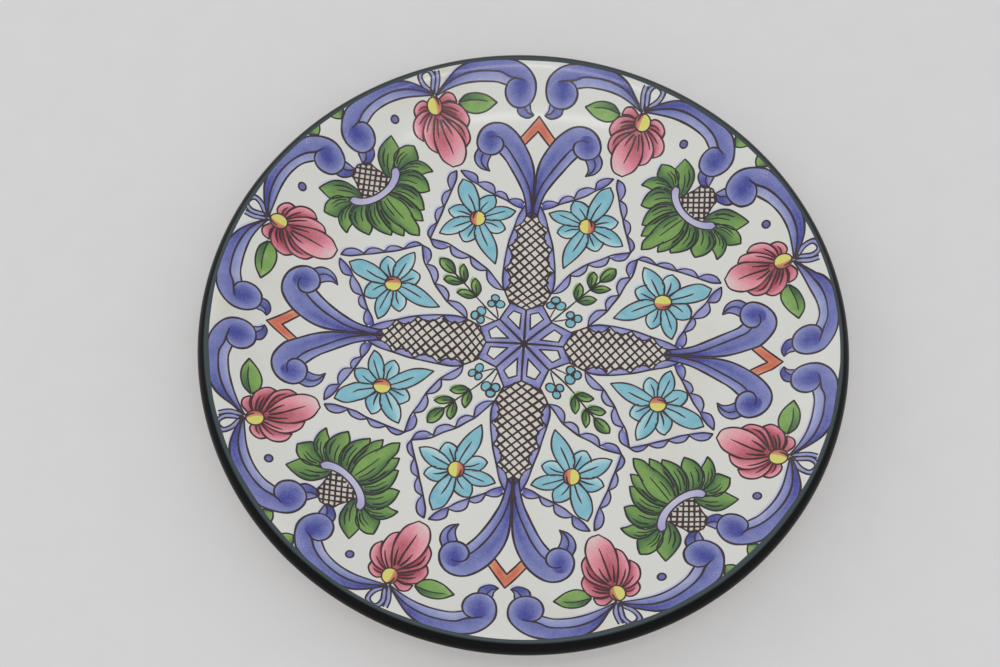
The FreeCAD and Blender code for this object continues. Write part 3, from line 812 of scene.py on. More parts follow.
# The half moons along a frame: the edge on the frame, the outer edge, and the depth of the colour
HALF_MOONS = (
    ([(3.3, 47.2), (5.8, 48.0), (8.2, 49.6)],
     [(2.9, 49.2), (4.0, 50.2), (6.1, 50.5), (8.2, 50.0)], 0.9),
    ([(8.0, 49.4), (10.3, 50.6), (12.8, 52.0)],
     [(8.0, 49.6), (9.6, 52.3), (11.7, 52.9), (12.9, 52.3)], 0.6),
    ([(12.8, 51.6), (15.8, 53.0), (18.9, 55.0)],
     [(12.8, 52.1), (13.9, 55.1), (16.4, 56.1), (18.9, 55.6)], 0.5),
    ([(18.9, 55.0), (21.5, 56.2), (24.6, 59.2)],
     [(18.9, 55.4), (19.6, 58.2), (22.1, 59.3), (24.6, 59.2)], 0.8),
    ([(26.0, 58.9), (25.8, 56.0), (26.9, 51.9)],
     [(26.0, 58.9), (27.8, 57.6), (28.5, 55.4), (28.2, 53.6), (27.2, 51.9)], 0.7),
    ([(27.0, 51.9), (28.1, 48.0), (29.1, 45.9)],
     [(27.1, 51.9), (29.1, 50.4), (29.6, 48.3), (28.9, 45.9)], 0.55),
    ([(28.6, 45.9), (29.4, 43.0), (30.4, 40.0)],
     [(28.9, 45.9), (30.8, 44.5), (31.2, 42.3), (30.4, 40.0)], 0.55),
    ([(30.2, 40.0), (31.1, 37.4), (31.9, 34.2)],
     [(30.5, 40.0), (32.4, 38.0), (32.9, 36.1), (31.9, 34.2)], 0.85),
    ([(31.9, 34.2), (29.2, 33.7), (25.5, 32.0)],
     [(31.9, 34.2), (30.3, 31.6), (27.6, 31.0), (25.5, 32.0)], 0.85),
    ([(25.5, 32.2), (22.2, 30.7), (18.9, 28.9)],
     [(25.4, 32.0), (24.5, 29.4), (21.3, 28.2), (18.9, 28.9)], 0.45),
    ([(18.9, 28.9), (16.0, 27.2), (13.3, 25.3)],
     [(18.8, 28.7), (18.0, 26.3), (15.8, 24.9), (13.3, 25.2)], 0.45),
    ([(13.3, 25.3), (10.3, 22.7), (7.4, 19.5)],
     [(13.4, 25.1), (12.9, 22.1), (10.6, 20.1), (7.4, 19.5)], 0.5),
    ([(2.4, 48.2), (4.3, 44.6), (5.6, 40.2)],
     [(2.3, 48.0), (1.9, 45.6), (2.5, 43.0), (5.6, 40.2)], 0.7),
    ([(5.6, 40.2), (6.6, 36.8), (7.1, 33.6)],
     [(5.5, 40.2), (4.3, 38.0), (4.6, 36.0), (7.0, 33.6)], 0.55),
    ([(7.1, 33.6), (7.8, 30.2), (8.1, 26.5)],
     [(7.0, 33.6), (5.8, 31.4), (5.9, 29.0), (7.9, 26.5)], 0.5),
    ([(8.1, 26.5), (8.2, 23.0), (7.5, 19.5)],
     [(7.9, 26.5), (6.1, 24.6), (5.8, 22.2), (7.4, 19.5)], 0.8),
)


def diamond_frame():
    """The four-sided frame round a flower, each side a line with four half moons, on the axis."""
    sides = (
        [
            (3.3, 47.2), (5.8, 48.0), (8.3, 49.5), (12.7, 51.5), (16.5, 53.3), (18.9, 54.9), (21.0, 55.9),
            (23.0, 57.3), (24.6, 59.2),
        ],
        [
            (26.0, 58.9), (25.8, 56.4), (26.3, 53.9), (26.9, 51.4), (27.7, 48.6), (28.5, 46.1),
            (29.25, 43.25), (30.2, 40.1), (31.1, 37.3), (31.9, 34.4),
        ],
        [
            (31.9, 34.2), (29.25, 33.7), (26.1, 32.9), (22.4, 30.75), (18.9, 29.2), (15.5, 27.0),
            (13.0, 25.4), (10.5, 22.9), (8.6, 20.75), (7.4, 19.5),
        ],
        CONE_SIDE,
    )
    marks = []
    for one, other, depth in HALF_MOONS:
        tones = ((depth + 0.3, depth + 0.2), (depth + 0.1, 0.5), (depth, 0.5), (depth + 0.2, depth))
        marks.append(fill("violet", one, other, tones, 0, 16))
        marks.append(stroke(other, 0.95, 0, "blue_line"))
    return marks + [stroke(line, 1.05, 0, "blue_line") for line in sides]


def centre_star():
    """Eight kites round the middle, each a band with a white core, between eight spokes."""
    core = np.array([(1.4, 10.6), (3.9, 11.6), (5.6, 9.1), (1.6, 4.8)])
    notch, tip, elbow = (0.0, 12.2), (4.9, 14.8), (7.9, 8.5)
    bands = (
        ([(0.1, 0.4), notch], core[[3, 0]], ((0.9, 0.7), (0.5, 0.45))),
        ([notch, tip], core[[0, 1]], ((0.5, 0.45), (0.9, 0.65))),
        ([tip, elbow], core[[1, 2]], ((0.8, 0.5), (0.6, 0.5))),
        ([elbow, (0.3, 0.4)], core[[2, 3]], ((0.6, 0.5), (0.85, 0.6))),
    )
    kite = [fill("violet", *band) for band in bands]
    kite += [stroke(line, 1.0, 0, "blue_line") for line in ([notch, tip], [tip, elbow])]
    kite += [stroke(core[[corner, (corner + 1) % 4]], 0.9, 0, "blue_line") for corner in range(4)]
    marks = []
    for quarter in QUARTERS:
        for side in SIDES:
            marks += moved(kite, side, quarter)
        marks += moved([stroke([(0.0, 0.0), notch], 1.3, 1, "blue_line")], 1, quarter)
        marks += moved([stroke([(0.0, 0.0), (0.0, 11.6)], 1.3, 1, "blue_line")], 1, quarter, True)
    return marks


def berries():
    """Two clusters of three berries on stems, on the diagonal."""
    clusters = (
        (((-5.6, 18.3), 1.45), ((-2.9, 18.0), 1.6), ((-5.25, 16.0), 1.4)),
        (((1.8, 17.8), 1.25), ((4.4, 18.6), 1.3), ((4.0, 15.8), 1.5)),
    )
    marks = []
    for cluster in clusters:
        for centre, radius in cluster:
            left, right = oval(centre, radius, radius)
            marks += outlined("turquoise", left, right, ((0.95, 0.7), (0.8, 0.95)), 0, rows=18)
        middle = np.mean([centre for centre, radius in cluster], axis=0)
        marks += [fill("line", *oval(middle, 0.75, 0.75), 0.9, 2, 12)]
    marks.append(stroke([(-1.8, 12.6), (-2.6, 14.2), (-3.4, 16.2)], 0.75))
    marks.append(stroke([(0.1, 12.4), (1.2, 14.1), (2.4, 16.2)], 0.75))
    return marks


def leaf(one, other, base):
    """A two-toned leaf from its tip to its base, with a middle vein."""
    tones = ((0.55, 0.5, 0.75, 0.9), (0.45, 0.5, 0.9, 1.0), (0.6, 0.7, 0.95, 1.0), (0.9, 0.95, 1.0, 1.0))
    tip = np.array(one[0])
    vein = [base, tip * 0.3 + np.array(base) * 0.7, tip * 0.62 + np.array(base) * 0.38]
    return outlined("green", one, other, tones, 0, [vein], "leaf_line")


def leaf_sprig():
    """Five leaves on a stem, on the diagonal."""
    leaves = (
        (
            [(-4.2, 27.5), (-2.4, 27.2), (-0.9, 25.7), (-0.6, 22.7)],
            [(-4.2, 27.5), (-4.0, 25.8), (-3.1, 23.9), (-0.6, 22.7)], (-0.8, 23.0),
        ),
        (
            [(3.7, 27.4), (1.9, 27.0), (0.4, 25.5), (-0.2, 22.7)],
            [(3.7, 27.4), (3.8, 25.8), (2.6, 23.6), (-0.2, 22.7)], (0.0, 23.0),
        ),
        (
            [(-4.0, 33.3), (-2.4, 33.3), (-0.9, 31.4), (-0.4, 28.6)],
            [(-4.0, 33.3), (-4.0, 31.75), (-2.75, 29.6), (-0.4, 28.6)], (-0.5, 28.9),
        ),
        (
            [(4.0, 33.2), (2.25, 32.7), (0.7, 30.8), (0.0, 28.4)],
            [(4.0, 33.2), (3.7, 31.4), (2.25, 29.25), (0.0, 28.4)], (0.2, 28.7),
        ),
        (
            [(-0.25, 39.3), (-1.3, 38.3), (-1.75, 36.1), (-1.2, 33.9), (0.0, 32.4)],
            [(-0.25, 39.3), (1.0, 38.3), (1.8, 36.4), (1.3, 34.25), (0.0, 32.4)], (0.0, 32.8),
        ),
    )
    stem = [(-0.4, 11.8), (-0.7, 17.0), (-0.6, 22.0), (-0.2, 28.0), (-0.1, 33.0)]
    marks = [stroke(stem, 0.95, 0, "leaf_line")]
    for one, other, base in leaves:
        marks += leaf(one, other, base)
    return marks


def acanthus():
    """A fan of thirteen leaves under a lilac band that holds a lattice cup, on the diagonal."""
    light_left = ((0.55, 0.6, 0.75), (0.55, 0.65, 0.95), (0.6, 0.8, 1.0), (0.8, 1.0, 1.0))
    light_right = ((0.75, 0.6, 0.55), (0.95, 0.65, 0.55), (1.0, 0.8, 0.6), (1.0, 1.0, 0.8))
    leaves = (
        (
            [(-14.9, 81.7), (-12.2, 81.5), (-9.2, 80.7), (-6.9, 78.8), (-5.7, 76.1), (-4.9, 72.6)],
            [(-14.9, 81.7), (-14.4, 78.8), (-14.0, 77.2), (-11.5, 75.7), (-9.2, 74.2), (-6.5, 71.5)],
            [(-6.1, 72.4), (-7.6, 75.3), (-10.3, 78.0)], light_right,
        ),
        (
            [(-18.2, 74.9), (-16.5, 76.5), (-14.2, 77.0), (-11.5, 76.5), (-9.7, 74.5), (-8.6, 72.6)],
            [(-18.2, 74.9), (-17.2, 72.6), (-15.7, 70.5), (-13.8, 71.5), (-11.5, 71.8), (-8.6, 71.7)],
            [(-9.9, 72.8), (-12.2, 74.0), (-14.9, 74.2)], light_left,
        ),
        (
            [(-16.9, 64.5), (-17.0, 66.8), (-16.3, 69.2), (-15.3, 70.7), (-13.4, 71.5), (-9.0, 71.5)],
            [(-16.9, 64.5), (-15.3, 65.3), (-13.6, 65.9), (-13.2, 67.6), (-11.9, 69.5), (-8.6, 70.9)],
            [(-10.4, 71.0), (-12.2, 70.5), (-14.5, 68.4)], light_right,
        ),
        (
            [(-12.0, 59.9), (-13.2, 62.6), (-13.5, 65.3), (-12.8, 67.6), (-11.1, 69.3), (-8.0, 70.2)],
            [(-12.0, 59.9), (-10.3, 60.7), (-9.4, 61.5), (-9.0, 64.2), (-8.0, 66.5), (-5.6, 68.8)],
            [(-7.6, 68.8), (-9.2, 67.2), (-10.5, 64.5)], light_right,
        ),
        (
            [(-6.7, 55.9), (-8.2, 58.4), (-9.1, 61.5), (-8.6, 64.2), (-7.2, 66.5), (-4.8, 68.4)],
            [(-6.7, 55.9), (-5.7, 56.7), (-5.5, 59.5), (-5.1, 63.4), (-3.8, 66.5), (-2.4, 68.0)],
            [(-4.3, 66.9), (-6.1, 64.2), (-6.9, 60.7)], light_right,
        ),
        (
            [(-3.9, 53.2), (-5.1, 55.3), (-5.7, 58.0), (-5.5, 61.1), (-4.7, 64.2), (-2.6, 67.8)],
            [(-3.9, 53.2), (-2.6, 54.6), (-2.2, 58.0), (-1.8, 62.0), (-1.4, 65.0), (-1.2, 67.6)],
            [(-3.4, 64.8), (-4.2, 62.2), (-4.3, 58.8)], light_right,
        ),
    )
    half = []
    for one, other, vein, tones in leaves:
        inner = np.array(one)[[4, 3, 2]] * 0.74 + np.array(other)[[4, 3, 2]] * 0.26
        half += outlined("green", one, other, tones, 0, [vein], "leaf_line")
        half.append(stroke(inner, 1.1, 0, "leaf_line", ends=(0.6, 4.0)))
    # A dark bed under the leaves' roots closes the gaps between them
    bed_outer = [
        (-8.8, 76.0), (-11.8, 74.2), (-12.6, 71.5), (-11.2, 68.2), (-8.6, 65.4), (-4.6, 62.6), (0.0, 61.0),
        (4.6, 62.6), (8.6, 65.4), (11.2, 68.2), (12.6, 71.5), (11.8, 74.2), (8.8, 76.0),
    ]
    bed_inner = [
        (-8.0, 74.0), (-8.2, 71.6), (-4.5, 68.8), (0.0, 68.2), (4.5, 68.8), (8.2, 71.6), (8.0, 74.0),
    ]
    marks = [fill("green", bed_outer, bed_inner, 1.0, -0.4, 40)]
    marks += moved(half, 1, 0) + moved(half, -1, 0)
    marks += outlined(
        "green",
        [(-0.2, 50.0), (-1.9, 52.2), (-2.4, 55.3), (-3.2, 58.8), (-3.4, 61.8), (-2.8, 64.9), (-1.7, 67.4)],
        [(-0.2, 50.0), (1.4, 52.2), (2.2, 55.3), (3.2, 58.8), (3.5, 61.8), (2.8, 64.9), (1.7, 67.4)],
        ((0.65, 0.6, 0.6, 0.6), (0.95, 0.6, 0.55, 0.6), (1.0, 0.65, 0.55, 0.6), (1.0, 0.7, 0.6, 0.8)),
        1, [[(0.5, 66.8), (0.2, 63.4), (0.0, 57.6)], [(-0.9, 66.2), (-1.5, 63.0), (-1.5, 60.4)]],
        "leaf_line",
    )
    upper = [
        (-9.5, 73.0), (-8.0, 73.4), (-6.1, 71.5), (-3.8, 70.3), (-0.7, 69.7), (0.7, 69.7), (3.8, 70.3),
        (6.1, 71.5), (8.0, 73.4), (9.5, 73.0),
    ]
    lower = [
        (-9.5, 73.0), (-9.2, 71.1), (-7.6, 69.5), (-4.5, 68.0), (0.0, 67.4), (4.5, 68.0), (7.6, 69.5),
        (9.2, 71.1), (9.5, 73.0),
    ]
    marks += outlined("lilac", upper, lower, ((0.9, 0.8), (0.6, 0.5), (0.5, 0.4), (0.7, 0.6), (0.9, 0.9)), 2,
                      (), "blue_line", 40)
    widths = ((70.3, 3.0), (71.5, 5.6), (73.4, 5.0), (76.5, 4.0), (78.8, 3.7), (80.4, 0.6))
    cup_side = [(3.7, 79.0), (4.0, 76.5), (5.1, 73.4), (5.7, 71.5)]
    top = [(0.0, 80.6), (1.9, 79.9), (3.7, 79.0)]
    for side in SIDES:
        marks += [stroke(np.array(line) * (side, 1), 1.0, 0, "lattice") for line in (cup_side, top)]
    return marks + lattice(widths, (2.5, 2.4), 78.3, 0.55)


def chevron():
    """A two-armed chevron with a yellow wash beside it, on the axis."""
    outer = [(0.0, 79.4), (2.8, 76.0), (5.5, 72.6)]
    inner = [(0.0, 74.8), (1.9, 72.6), (3.9, 70.2)]
    tones = ((0.7, 0.9, 0.8), (0.8, 1.0, 0.8), (0.4, 0.7, 0.6))
    arm = outlined("orange", outer, inner, tones, 0, (), "rose_line", 18)
    return halos(arm, 0.5, "yellow") + moved(arm, 1, 0) + moved(arm, -1, 0)


def blue_dots():
    """A round dot each side of the line between two quarters, on the diagonal."""
    marks = []
    for side in SIDES:
        left, right = oval((19.3 * side, 84.8), 1.15, 1.15)
        marks += outlined("blue", left, right, ((0.9, 0.8), (0.7, 0.9)), 0, (), "blue_line", 16)
    return marks


def rim_leaf_tips():
    """Two leaf tips that come out from under the black band, on the diagonal."""
    marks = []
    for side in SIDES:
        one = np.array([(2.4, 96.6), (3.2, 95.2), (4.7, 94.1)]) * (side, 1)
        other = np.array([(7.2, 96.4), (6.3, 95.3), (4.7, 94.1)]) * (side, 1)
        marks += outlined("green", one, other, ((0.5, 0.6, 1.0), (0.45, 0.5, 0.95)), 0, (), "leaf_line", 14)
    return marks


# ---------------------------------------------------------------- turned surfaces


def turned(profile_at, count, segments, poles):
    """Turn a section once round the axis: profile_at gives points for arrays of angle and place.

    With poles the section starts and ends on the axis, where each end row is one point.
    Without them it is a closed loop.
    """
    angle = 2 * math.pi * np.arange(segments) / segments
    place = np.linspace(0, 1, count, endpoint=poles)
    body = profile_at(angle[None, :], place[:, None])
    ring = np.arange(segments)
    after = (ring + 1) % segments
    row = np.arange(count - 1 if poles else count)[:, None] * segments
    following = (row + segments) % (count * segments)
    quads = np.stack([row + ring, following + ring, following + after, row + after], axis=-1)
    if not poles:
        return body.reshape(-1, 3), quads.reshape(-1, 4)
    points = np.concatenate([body[:1].mean(axis=1), body[1:-1].reshape(-1, 3), body[-1:].mean(axis=1)])
    quads = quads[1:-1].reshape(-1, 4) - segments + 1
    nobody = np.full(segments, -1)
    top = np.stack([np.zeros(segments, int), 1 + ring, 1 + after, nobody], axis=1)
    last = 1 + (count - 3) * segments
    bottom = np.stack([np.full(segments, len(points) - 1), last + after, last + ring, nobody], axis=1)
    return points, np.concatenate([quads, top, bottom])


def round_points(radius, height, angle):
    """Points in metres from radius, height and angle arrays."""
    radius = np.broadcast_to(radius, np.broadcast_shapes(np.shape(radius), angle.shape))
    height = np.broadcast_to(height, radius.shape)
    return np.stack([radius * np.cos(angle), radius * np.sin(angle), height], axis=-1) * MM


def front_section(angle, place):
    """Four fifths of the places run out over the face, the rest come back in beneath it."""
    turn_back = 0.8
    out = np.clip(place / turn_back, 0, 1)
    back = np.clip((1 - place) / (1 - turn_back), 0, 1)
    over = place <= turn_back
    radius = np.where(over, out, back) * (BAND_RADIUS + GLAZE_OVERLAP)
    x, y = radius * np.cos(angle), radius * np.sin(angle)
    lift = np.where(over, throwing_waves(x, y), -GLAZE_DEPTH)
    return round_points(radius, front_height(radius) + lift, angle)


def section_curve(points):
    """A smooth section through (radius, height) points, as a function of place from 0 to 1."""
    knots = smooth(points, 160)
    steps = np.linspace(0, 1, len(knots))
    return lambda place: (np.interp(place, steps, knots[:, 0]), np.interp(place, steps, knots[:, 1]))


def band_section(angle, place):
    """The black glaze: over the lip on the way out, and half a millimetre inside it on the way back.

    Its inner edge wanders a little, as a brushed edge on a turning wheel does.
    """
    face = float(front_height(BAND_START))
    edge = [(BAND_START + out, face + up) for out, up in BAND_STEPS]
    lip = [(LIP_CENTRE[0] + out, LIP_CENTRE[1] + up) for out, up in LIP_POINTS]
    outside = section_curve(edge + lip)
    radius_out, height_out = outside(np.clip(place * 2, 0, 1))
    radius_back, height_back = outside(np.clip((1 - place) * 2, 0, 1))
    inward = np.clip(np.sin(np.pi * np.clip((1 - place) * 2, 0, 1)) * 3, 0, 1)
    radius = np.where(place < 0.5, radius_out, radius_back - inward * BAND_DEPTH[0])
    height = np.where(place < 0.5, height_out, height_back - inward * BAND_DEPTH[1])
    nearness = np.clip(1 - np.abs(radius - BAND_START) / BAND_EDGE, 0, 1) * (height > LIP_CENTRE[1])
    wander = 0.16 * np.sin(3 * angle + 0.8) + 0.10 * np.sin(11 * angle) + 0.05 * np.sin(29 * angle + 2)
    waves = throwing_waves(radius * np.cos(angle), radius * np.sin(angle)) * nearness
    return round_points(radius + nearness * wander, height + waves, angle)


def back_section(angle, place):
    """The glaze under the rim, from the lip in to the foot ring, and back inside itself."""
    outside = section_curve(BACK_POINTS)
    out = np.clip(place * 2, 0, 1)
    back = np.clip((1 - place) * 2, 0, 1)
    radius_out, height_out = outside(out)
    radius_back, height_back = outside(back)
    depth = np.clip(np.sin(np.pi * back) * 6, 0, 1) * GLAZE_DEPTH
    first = place < 0.5
    radius = np.where(first, radius_out, radius_back)
    height = np.where(first, height_out, height_back + depth)
    ridges = 0.02 * np.sin(radius * 2.1) * np.where(first, 1, 0)
    return round_points(radius, height + ridges, angle)


def recess_section(angle, place):
    """The glazed disc inside the foot ring: up the axis side first, so that it faces down."""
    reach = FOOT_OUTER_RADIUS - FOOT_WIDTH + RECESS_MARGIN
    radius = np.sin(np.pi * place) ** 0.5 * reach
    height = RECESS_HEIGHT + GLAZE_DEPTH * (1 - place > 0.5)
    dip = 0.03 * np.cos(radius / 3.1) * (place > 0.5)
    return round_points(radius, height - dip, angle)


def foot_section(angle, place):
    """A turned ring with a rounded foot, as a closed loop of eleven smoothed corners."""
    outer, inner = FOOT_OUTER_RADIUS, FOOT_OUTER_RADIUS - FOOT_WIDTH
    corners = [
        (outer - 3.9, 4.3), (outer + 0.05, 4.3), (outer - 0.1, 3.4), (outer - 0.7, 1.6), (outer - 1.5, 0.25),
        (outer - 2.6, 0.0), (outer - 5.4, 0.0), (inner + 1.5, 0.25), (inner + 0.6, 1.6), (inner + 0.1, 3.4),
        (inner - 0.05, 4.3), (outer - 3.9, 4.3),
    ]
    radius, height = section_curve(corners)(place)
    trim = 0.05 * np.sin(2 * angle + 0.5) * np.clip(1.5 - height, 0, 1)
    return round_points(radius + trim, height, angle)


def turned_piece(name, node, section, count, segments, poles, finish):
    """Make one turned piece, from a section of count points turned in a number of segments."""
    points, faces = turned(section, count, segments, poles)
    mesh = new_mesh(name, points, faces)[0]
    mesh.materials.append(finish)
    mesh.set_sharp_from_angle(angle=SHARP_ANGLE)
    return stand_in(name, mesh, node)


# ---------------------------------------------------------------- finishes


class Flow:
    """A shader socket that takes part in Python arithmetic by adding Math nodes to its finish."""

    def __init__(self, finish, socket):
        self.finish = finish
        self.socket = socket

    def maths(self, operation, *terms):
        """A Math node with these terms."""
        return self.finish.node("ShaderNodeMath", {"operation": operation}, dict(enumerate(terms)))

    def __add__(self, other):
        return self.maths("ADD", self, other)

    def __sub__(self, other):
        return self.maths("SUBTRACT", self, other)

    def __rsub__(self, other):
        return self.maths("SUBTRACT", other, self)

    def __mul__(self, other):
        return self.maths("MULTIPLY", self, other)

    __radd__ = __add__
    __rmul__ = __mul__

    def held(self, low=0.0, high=1.0):
        """The value kept between two limits."""
        return self.maths("MINIMUM", self.maths("MAXIMUM", self, low), high)


class Finish:
    """A material under construction."""

    def __init__(self, name):
        self.material = bpy.data.materials.new(name)
        self.material.use_nodes = True
        self.tree = self.material.node_tree
        self.shader = self.tree.nodes["Principled BSDF"]

    def node(self, kind, settings=None, values=None, output=0):
        """Add a node: settings are its own properties, values fill or link its sockets."""
        made = self.tree.nodes.new(kind)
        for key, value in (settings or {}).items():
            setattr(made, key, value)
        self.fill_sockets(made, values or {})
        return Flow(self, made.outputs[output])

    def fill_sockets(self, made, values):
        """Link each flow to its socket, and write every other value into its own."""
        for key, value in values.items():
            socket = made.inputs[key]
            if isinstance(value, Flow):
                self.tree.links.new(value.socket, socket)
            elif isinstance(value, tuple) and len(value) == 3 and socket.type == "RGBA":
                socket.default_value = (*value, 1.0)
            else:
                socket.default_value = value

    def mix(self, first, second, factor):
        """A colour between two, by a factor from 0 to 1."""
        return self.node("ShaderNodeMix", {"data_type": "RGBA"}, {0: factor, 6: first, 7: second}, 2)

    def place(self):
        """The object's own coordinates."""
        return self.node("ShaderNodeTexCoord", output=3)

    def noise(self, scale, detail, roughness=0.5):
        """Noise from 0 to 1 on the object's own coordinates, which are metres."""
        values = {"Vector": self.place(), "Scale": scale, "Detail": detail, "Roughness": roughness}
        return self.node("ShaderNodeTexNoise", {}, values)

    def attribute(self, name):
        """A number that is kept on the mesh's points."""
        return self.node("ShaderNodeAttribute", {"attribute_name": name}, output=2)

    def surface(self, colour, bump=None, distance=0.0001, strength=1.0, **sockets):
        """Set the shader: keyword names are its sockets with underscores for spaces."""
        values = {"Base Color": colour}
        for key, value in sockets.items():
            values[key.replace("_", " ").title().replace("Ior", "IOR")] = value
        if bump is not None:
            values["Normal"] = self.node(
                "ShaderNodeBump", {}, {"Strength": strength, "Distance": distance, "Height": bump}
            )
        self.fill_sockets(self.shader, values)
        return self.material


def finished(name, build):
    """The named material, built the first time that it is asked for."""
    return bpy.data.materials.get(name) or build(Finish(name))


def colours():
    """The colours that the user has set."""
    return bpy.context.scene.plate_colours


def glaze_tint(finish):
    """White glaze with faint mottling and a few warm stains, the ground under every ink."""
    set_colours = colours()
    mottled = (finish.noise(60.0, 3.0) - 0.42).held() * 0.5
    ground = finish.mix(tuple(set_colours.glaze), tuple(set_colours.glaze_shade), mottled.held())
    patches = (finish.noise(30.0, 4.0, 0.6) - 0.57).held() * 3.5
    broken = (finish.noise(220.0, 3.0, 0.7) - 0.30).held() * 1.6
    return finish.mix(ground, tuple(set_colours.stain), (patches * broken).held(0.0, 0.5))


def glaze_relief(finish):
    """The glaze's slow orange-peel with a finer one over it."""
    slow = finish.noise(160.0, 2.0) * 0.7
    fine = finish.noise(900.0, 2.0) * 0.3
    return slow + fine


GLOSS = {"roughness": 0.3, "specular_ior_level": 0.35, "coat_weight": 0.45, "coat_roughness": 0.12}


def white_glaze(finish):
    """The white glaze on its own."""
    return finish.surface(glaze_tint(finish), glaze_relief(finish), 0.00012, 0.35, **GLOSS)


def black_glaze(finish):
    """Black glaze that thins to brown in specks, with a grey line along its inner edge that is partly thin
    glaze and partly a painted reflection.
    """
    specks = (finish.noise(700.0, 3.0, 0.6) - 0.60).held() * 2.0
    colour = finish.mix(tuple(colours().band), tuple(colours().band_thin), specks.held())
    level = {0: finish.place(), 1: (1, 1, 0)}
    flat = finish.node("ShaderNodeVectorMath", {"operation": "MULTIPLY"}, level)
    radius = finish.node("ShaderNodeVectorMath", {"operation": "LENGTH"}, {0: flat}, 1)
    # A grey painted reflection along the lip's inner edge, where the glaze is also thin
    crest = ((BAND_RADIUS + CREST_WIDTH) * MM - radius) * (1 / (CREST_BLEND * MM))
    colour = finish.mix(colour, tuple(colours().band_crest_reflection), crest.held())
    relief = finish.noise(120.0, 2.0)
    return finish.surface(
        colour, relief, 0.00015, 0.35,
        roughness=0.3, specular_ior_level=0.06, coat_weight=0.1, coat_roughness=0.08,
    )


def bare_clay(finish):
    """Biscuit clay with a fine grain and dark grog specks."""
    grain = finish.noise(1800.0, 4.0, 0.65)
    specks = (finish.noise(1100.0, 2.0) - 0.66).held() * 4.0
    colour = finish.mix(tuple(colours().clay), tuple(colours().clay_dark), (grain * 0.5 + specks).held())
    return finish.surface(colour, grain, 0.0002, 0.8, roughness=0.82)


def foot_finish(finish):
    """Glazed sides over a bare clay foot, with an uneven glaze line."""
    height = finish.node("ShaderNodeSeparateXYZ", {}, {0: finish.place()}, 2)
    wavy = height * (1 / MM) + finish.noise(300.0, 2.0) * 0.7
    glazed = ((wavy - 1.25) * 4.0).held()
    grain = finish.noise(1800.0, 4.0, 0.65)
    clay = finish.mix(tuple(colours().clay), tuple(colours().clay_dark), grain * 0.7)
    colour = finish.mix(clay, glaze_tint(finish), glazed)
    rough = 0.85 - glazed * 0.63
    return finish.surface(
        colour, grain * (1 - glazed), 0.00015, 0.6, roughness=rough, coat_weight=glazed * 0.8,
    )


def ink_material(ink):
    """Enamel that thins from deep to pale to bare glaze as its tone falls from 1 to 0."""

    def build(finish):
        pale = tuple(getattr(colours(), f"{ink}_pale"))
        deep = tuple(getattr(colours(), f"{ink}_deep"))
        speck = (finish.noise(2400.0, 1.0, 0.6) - 0.5) * 0.30
        cloud = (finish.noise(260.0, 3.0) - 0.5) * 0.25
        tone = (finish.attribute("tone") + speck + cloud).held()
        thin = finish.mix(glaze_tint(finish), pale, (tone * 2.0).held())
        colour = finish.mix(thin, deep, (tone * 2.0 - 1.0).held())
        return finish.surface(colour, glaze_relief(finish), 0.0001, 0.35, **GLOSS)

    return finished(f"{ink}_ink", build)


# ---------------------------------------------------------------- what a user can change


def distance(name, description, default, low, high):
    """A length in metres that a user can change between two limits."""
    return bpy.props.FloatProperty(
        name=name, description=description, default=default, min=low, max=high,
        subtype="DISTANCE", unit="LENGTH",
    )


def tint(name, description, *levels):
    """A colour that a user can change, from levels of 0 to 255."""
    return bpy.props.FloatVectorProperty(
        name=name, description=description, default=srgb(*levels), min=0.0, max=1.0,
        size=3, subtype="COLOR",
    )


class PlateSizes(bpy.types.PropertyGroup):
    line_width: distance("Line Width", "Width of a painted outline", 0.00064, 0.0003, 0.0015)
    wash_slip: distance("Wash Slip", "How far a wash lies from its drawing", 0.0008, 0.0, 0.002)


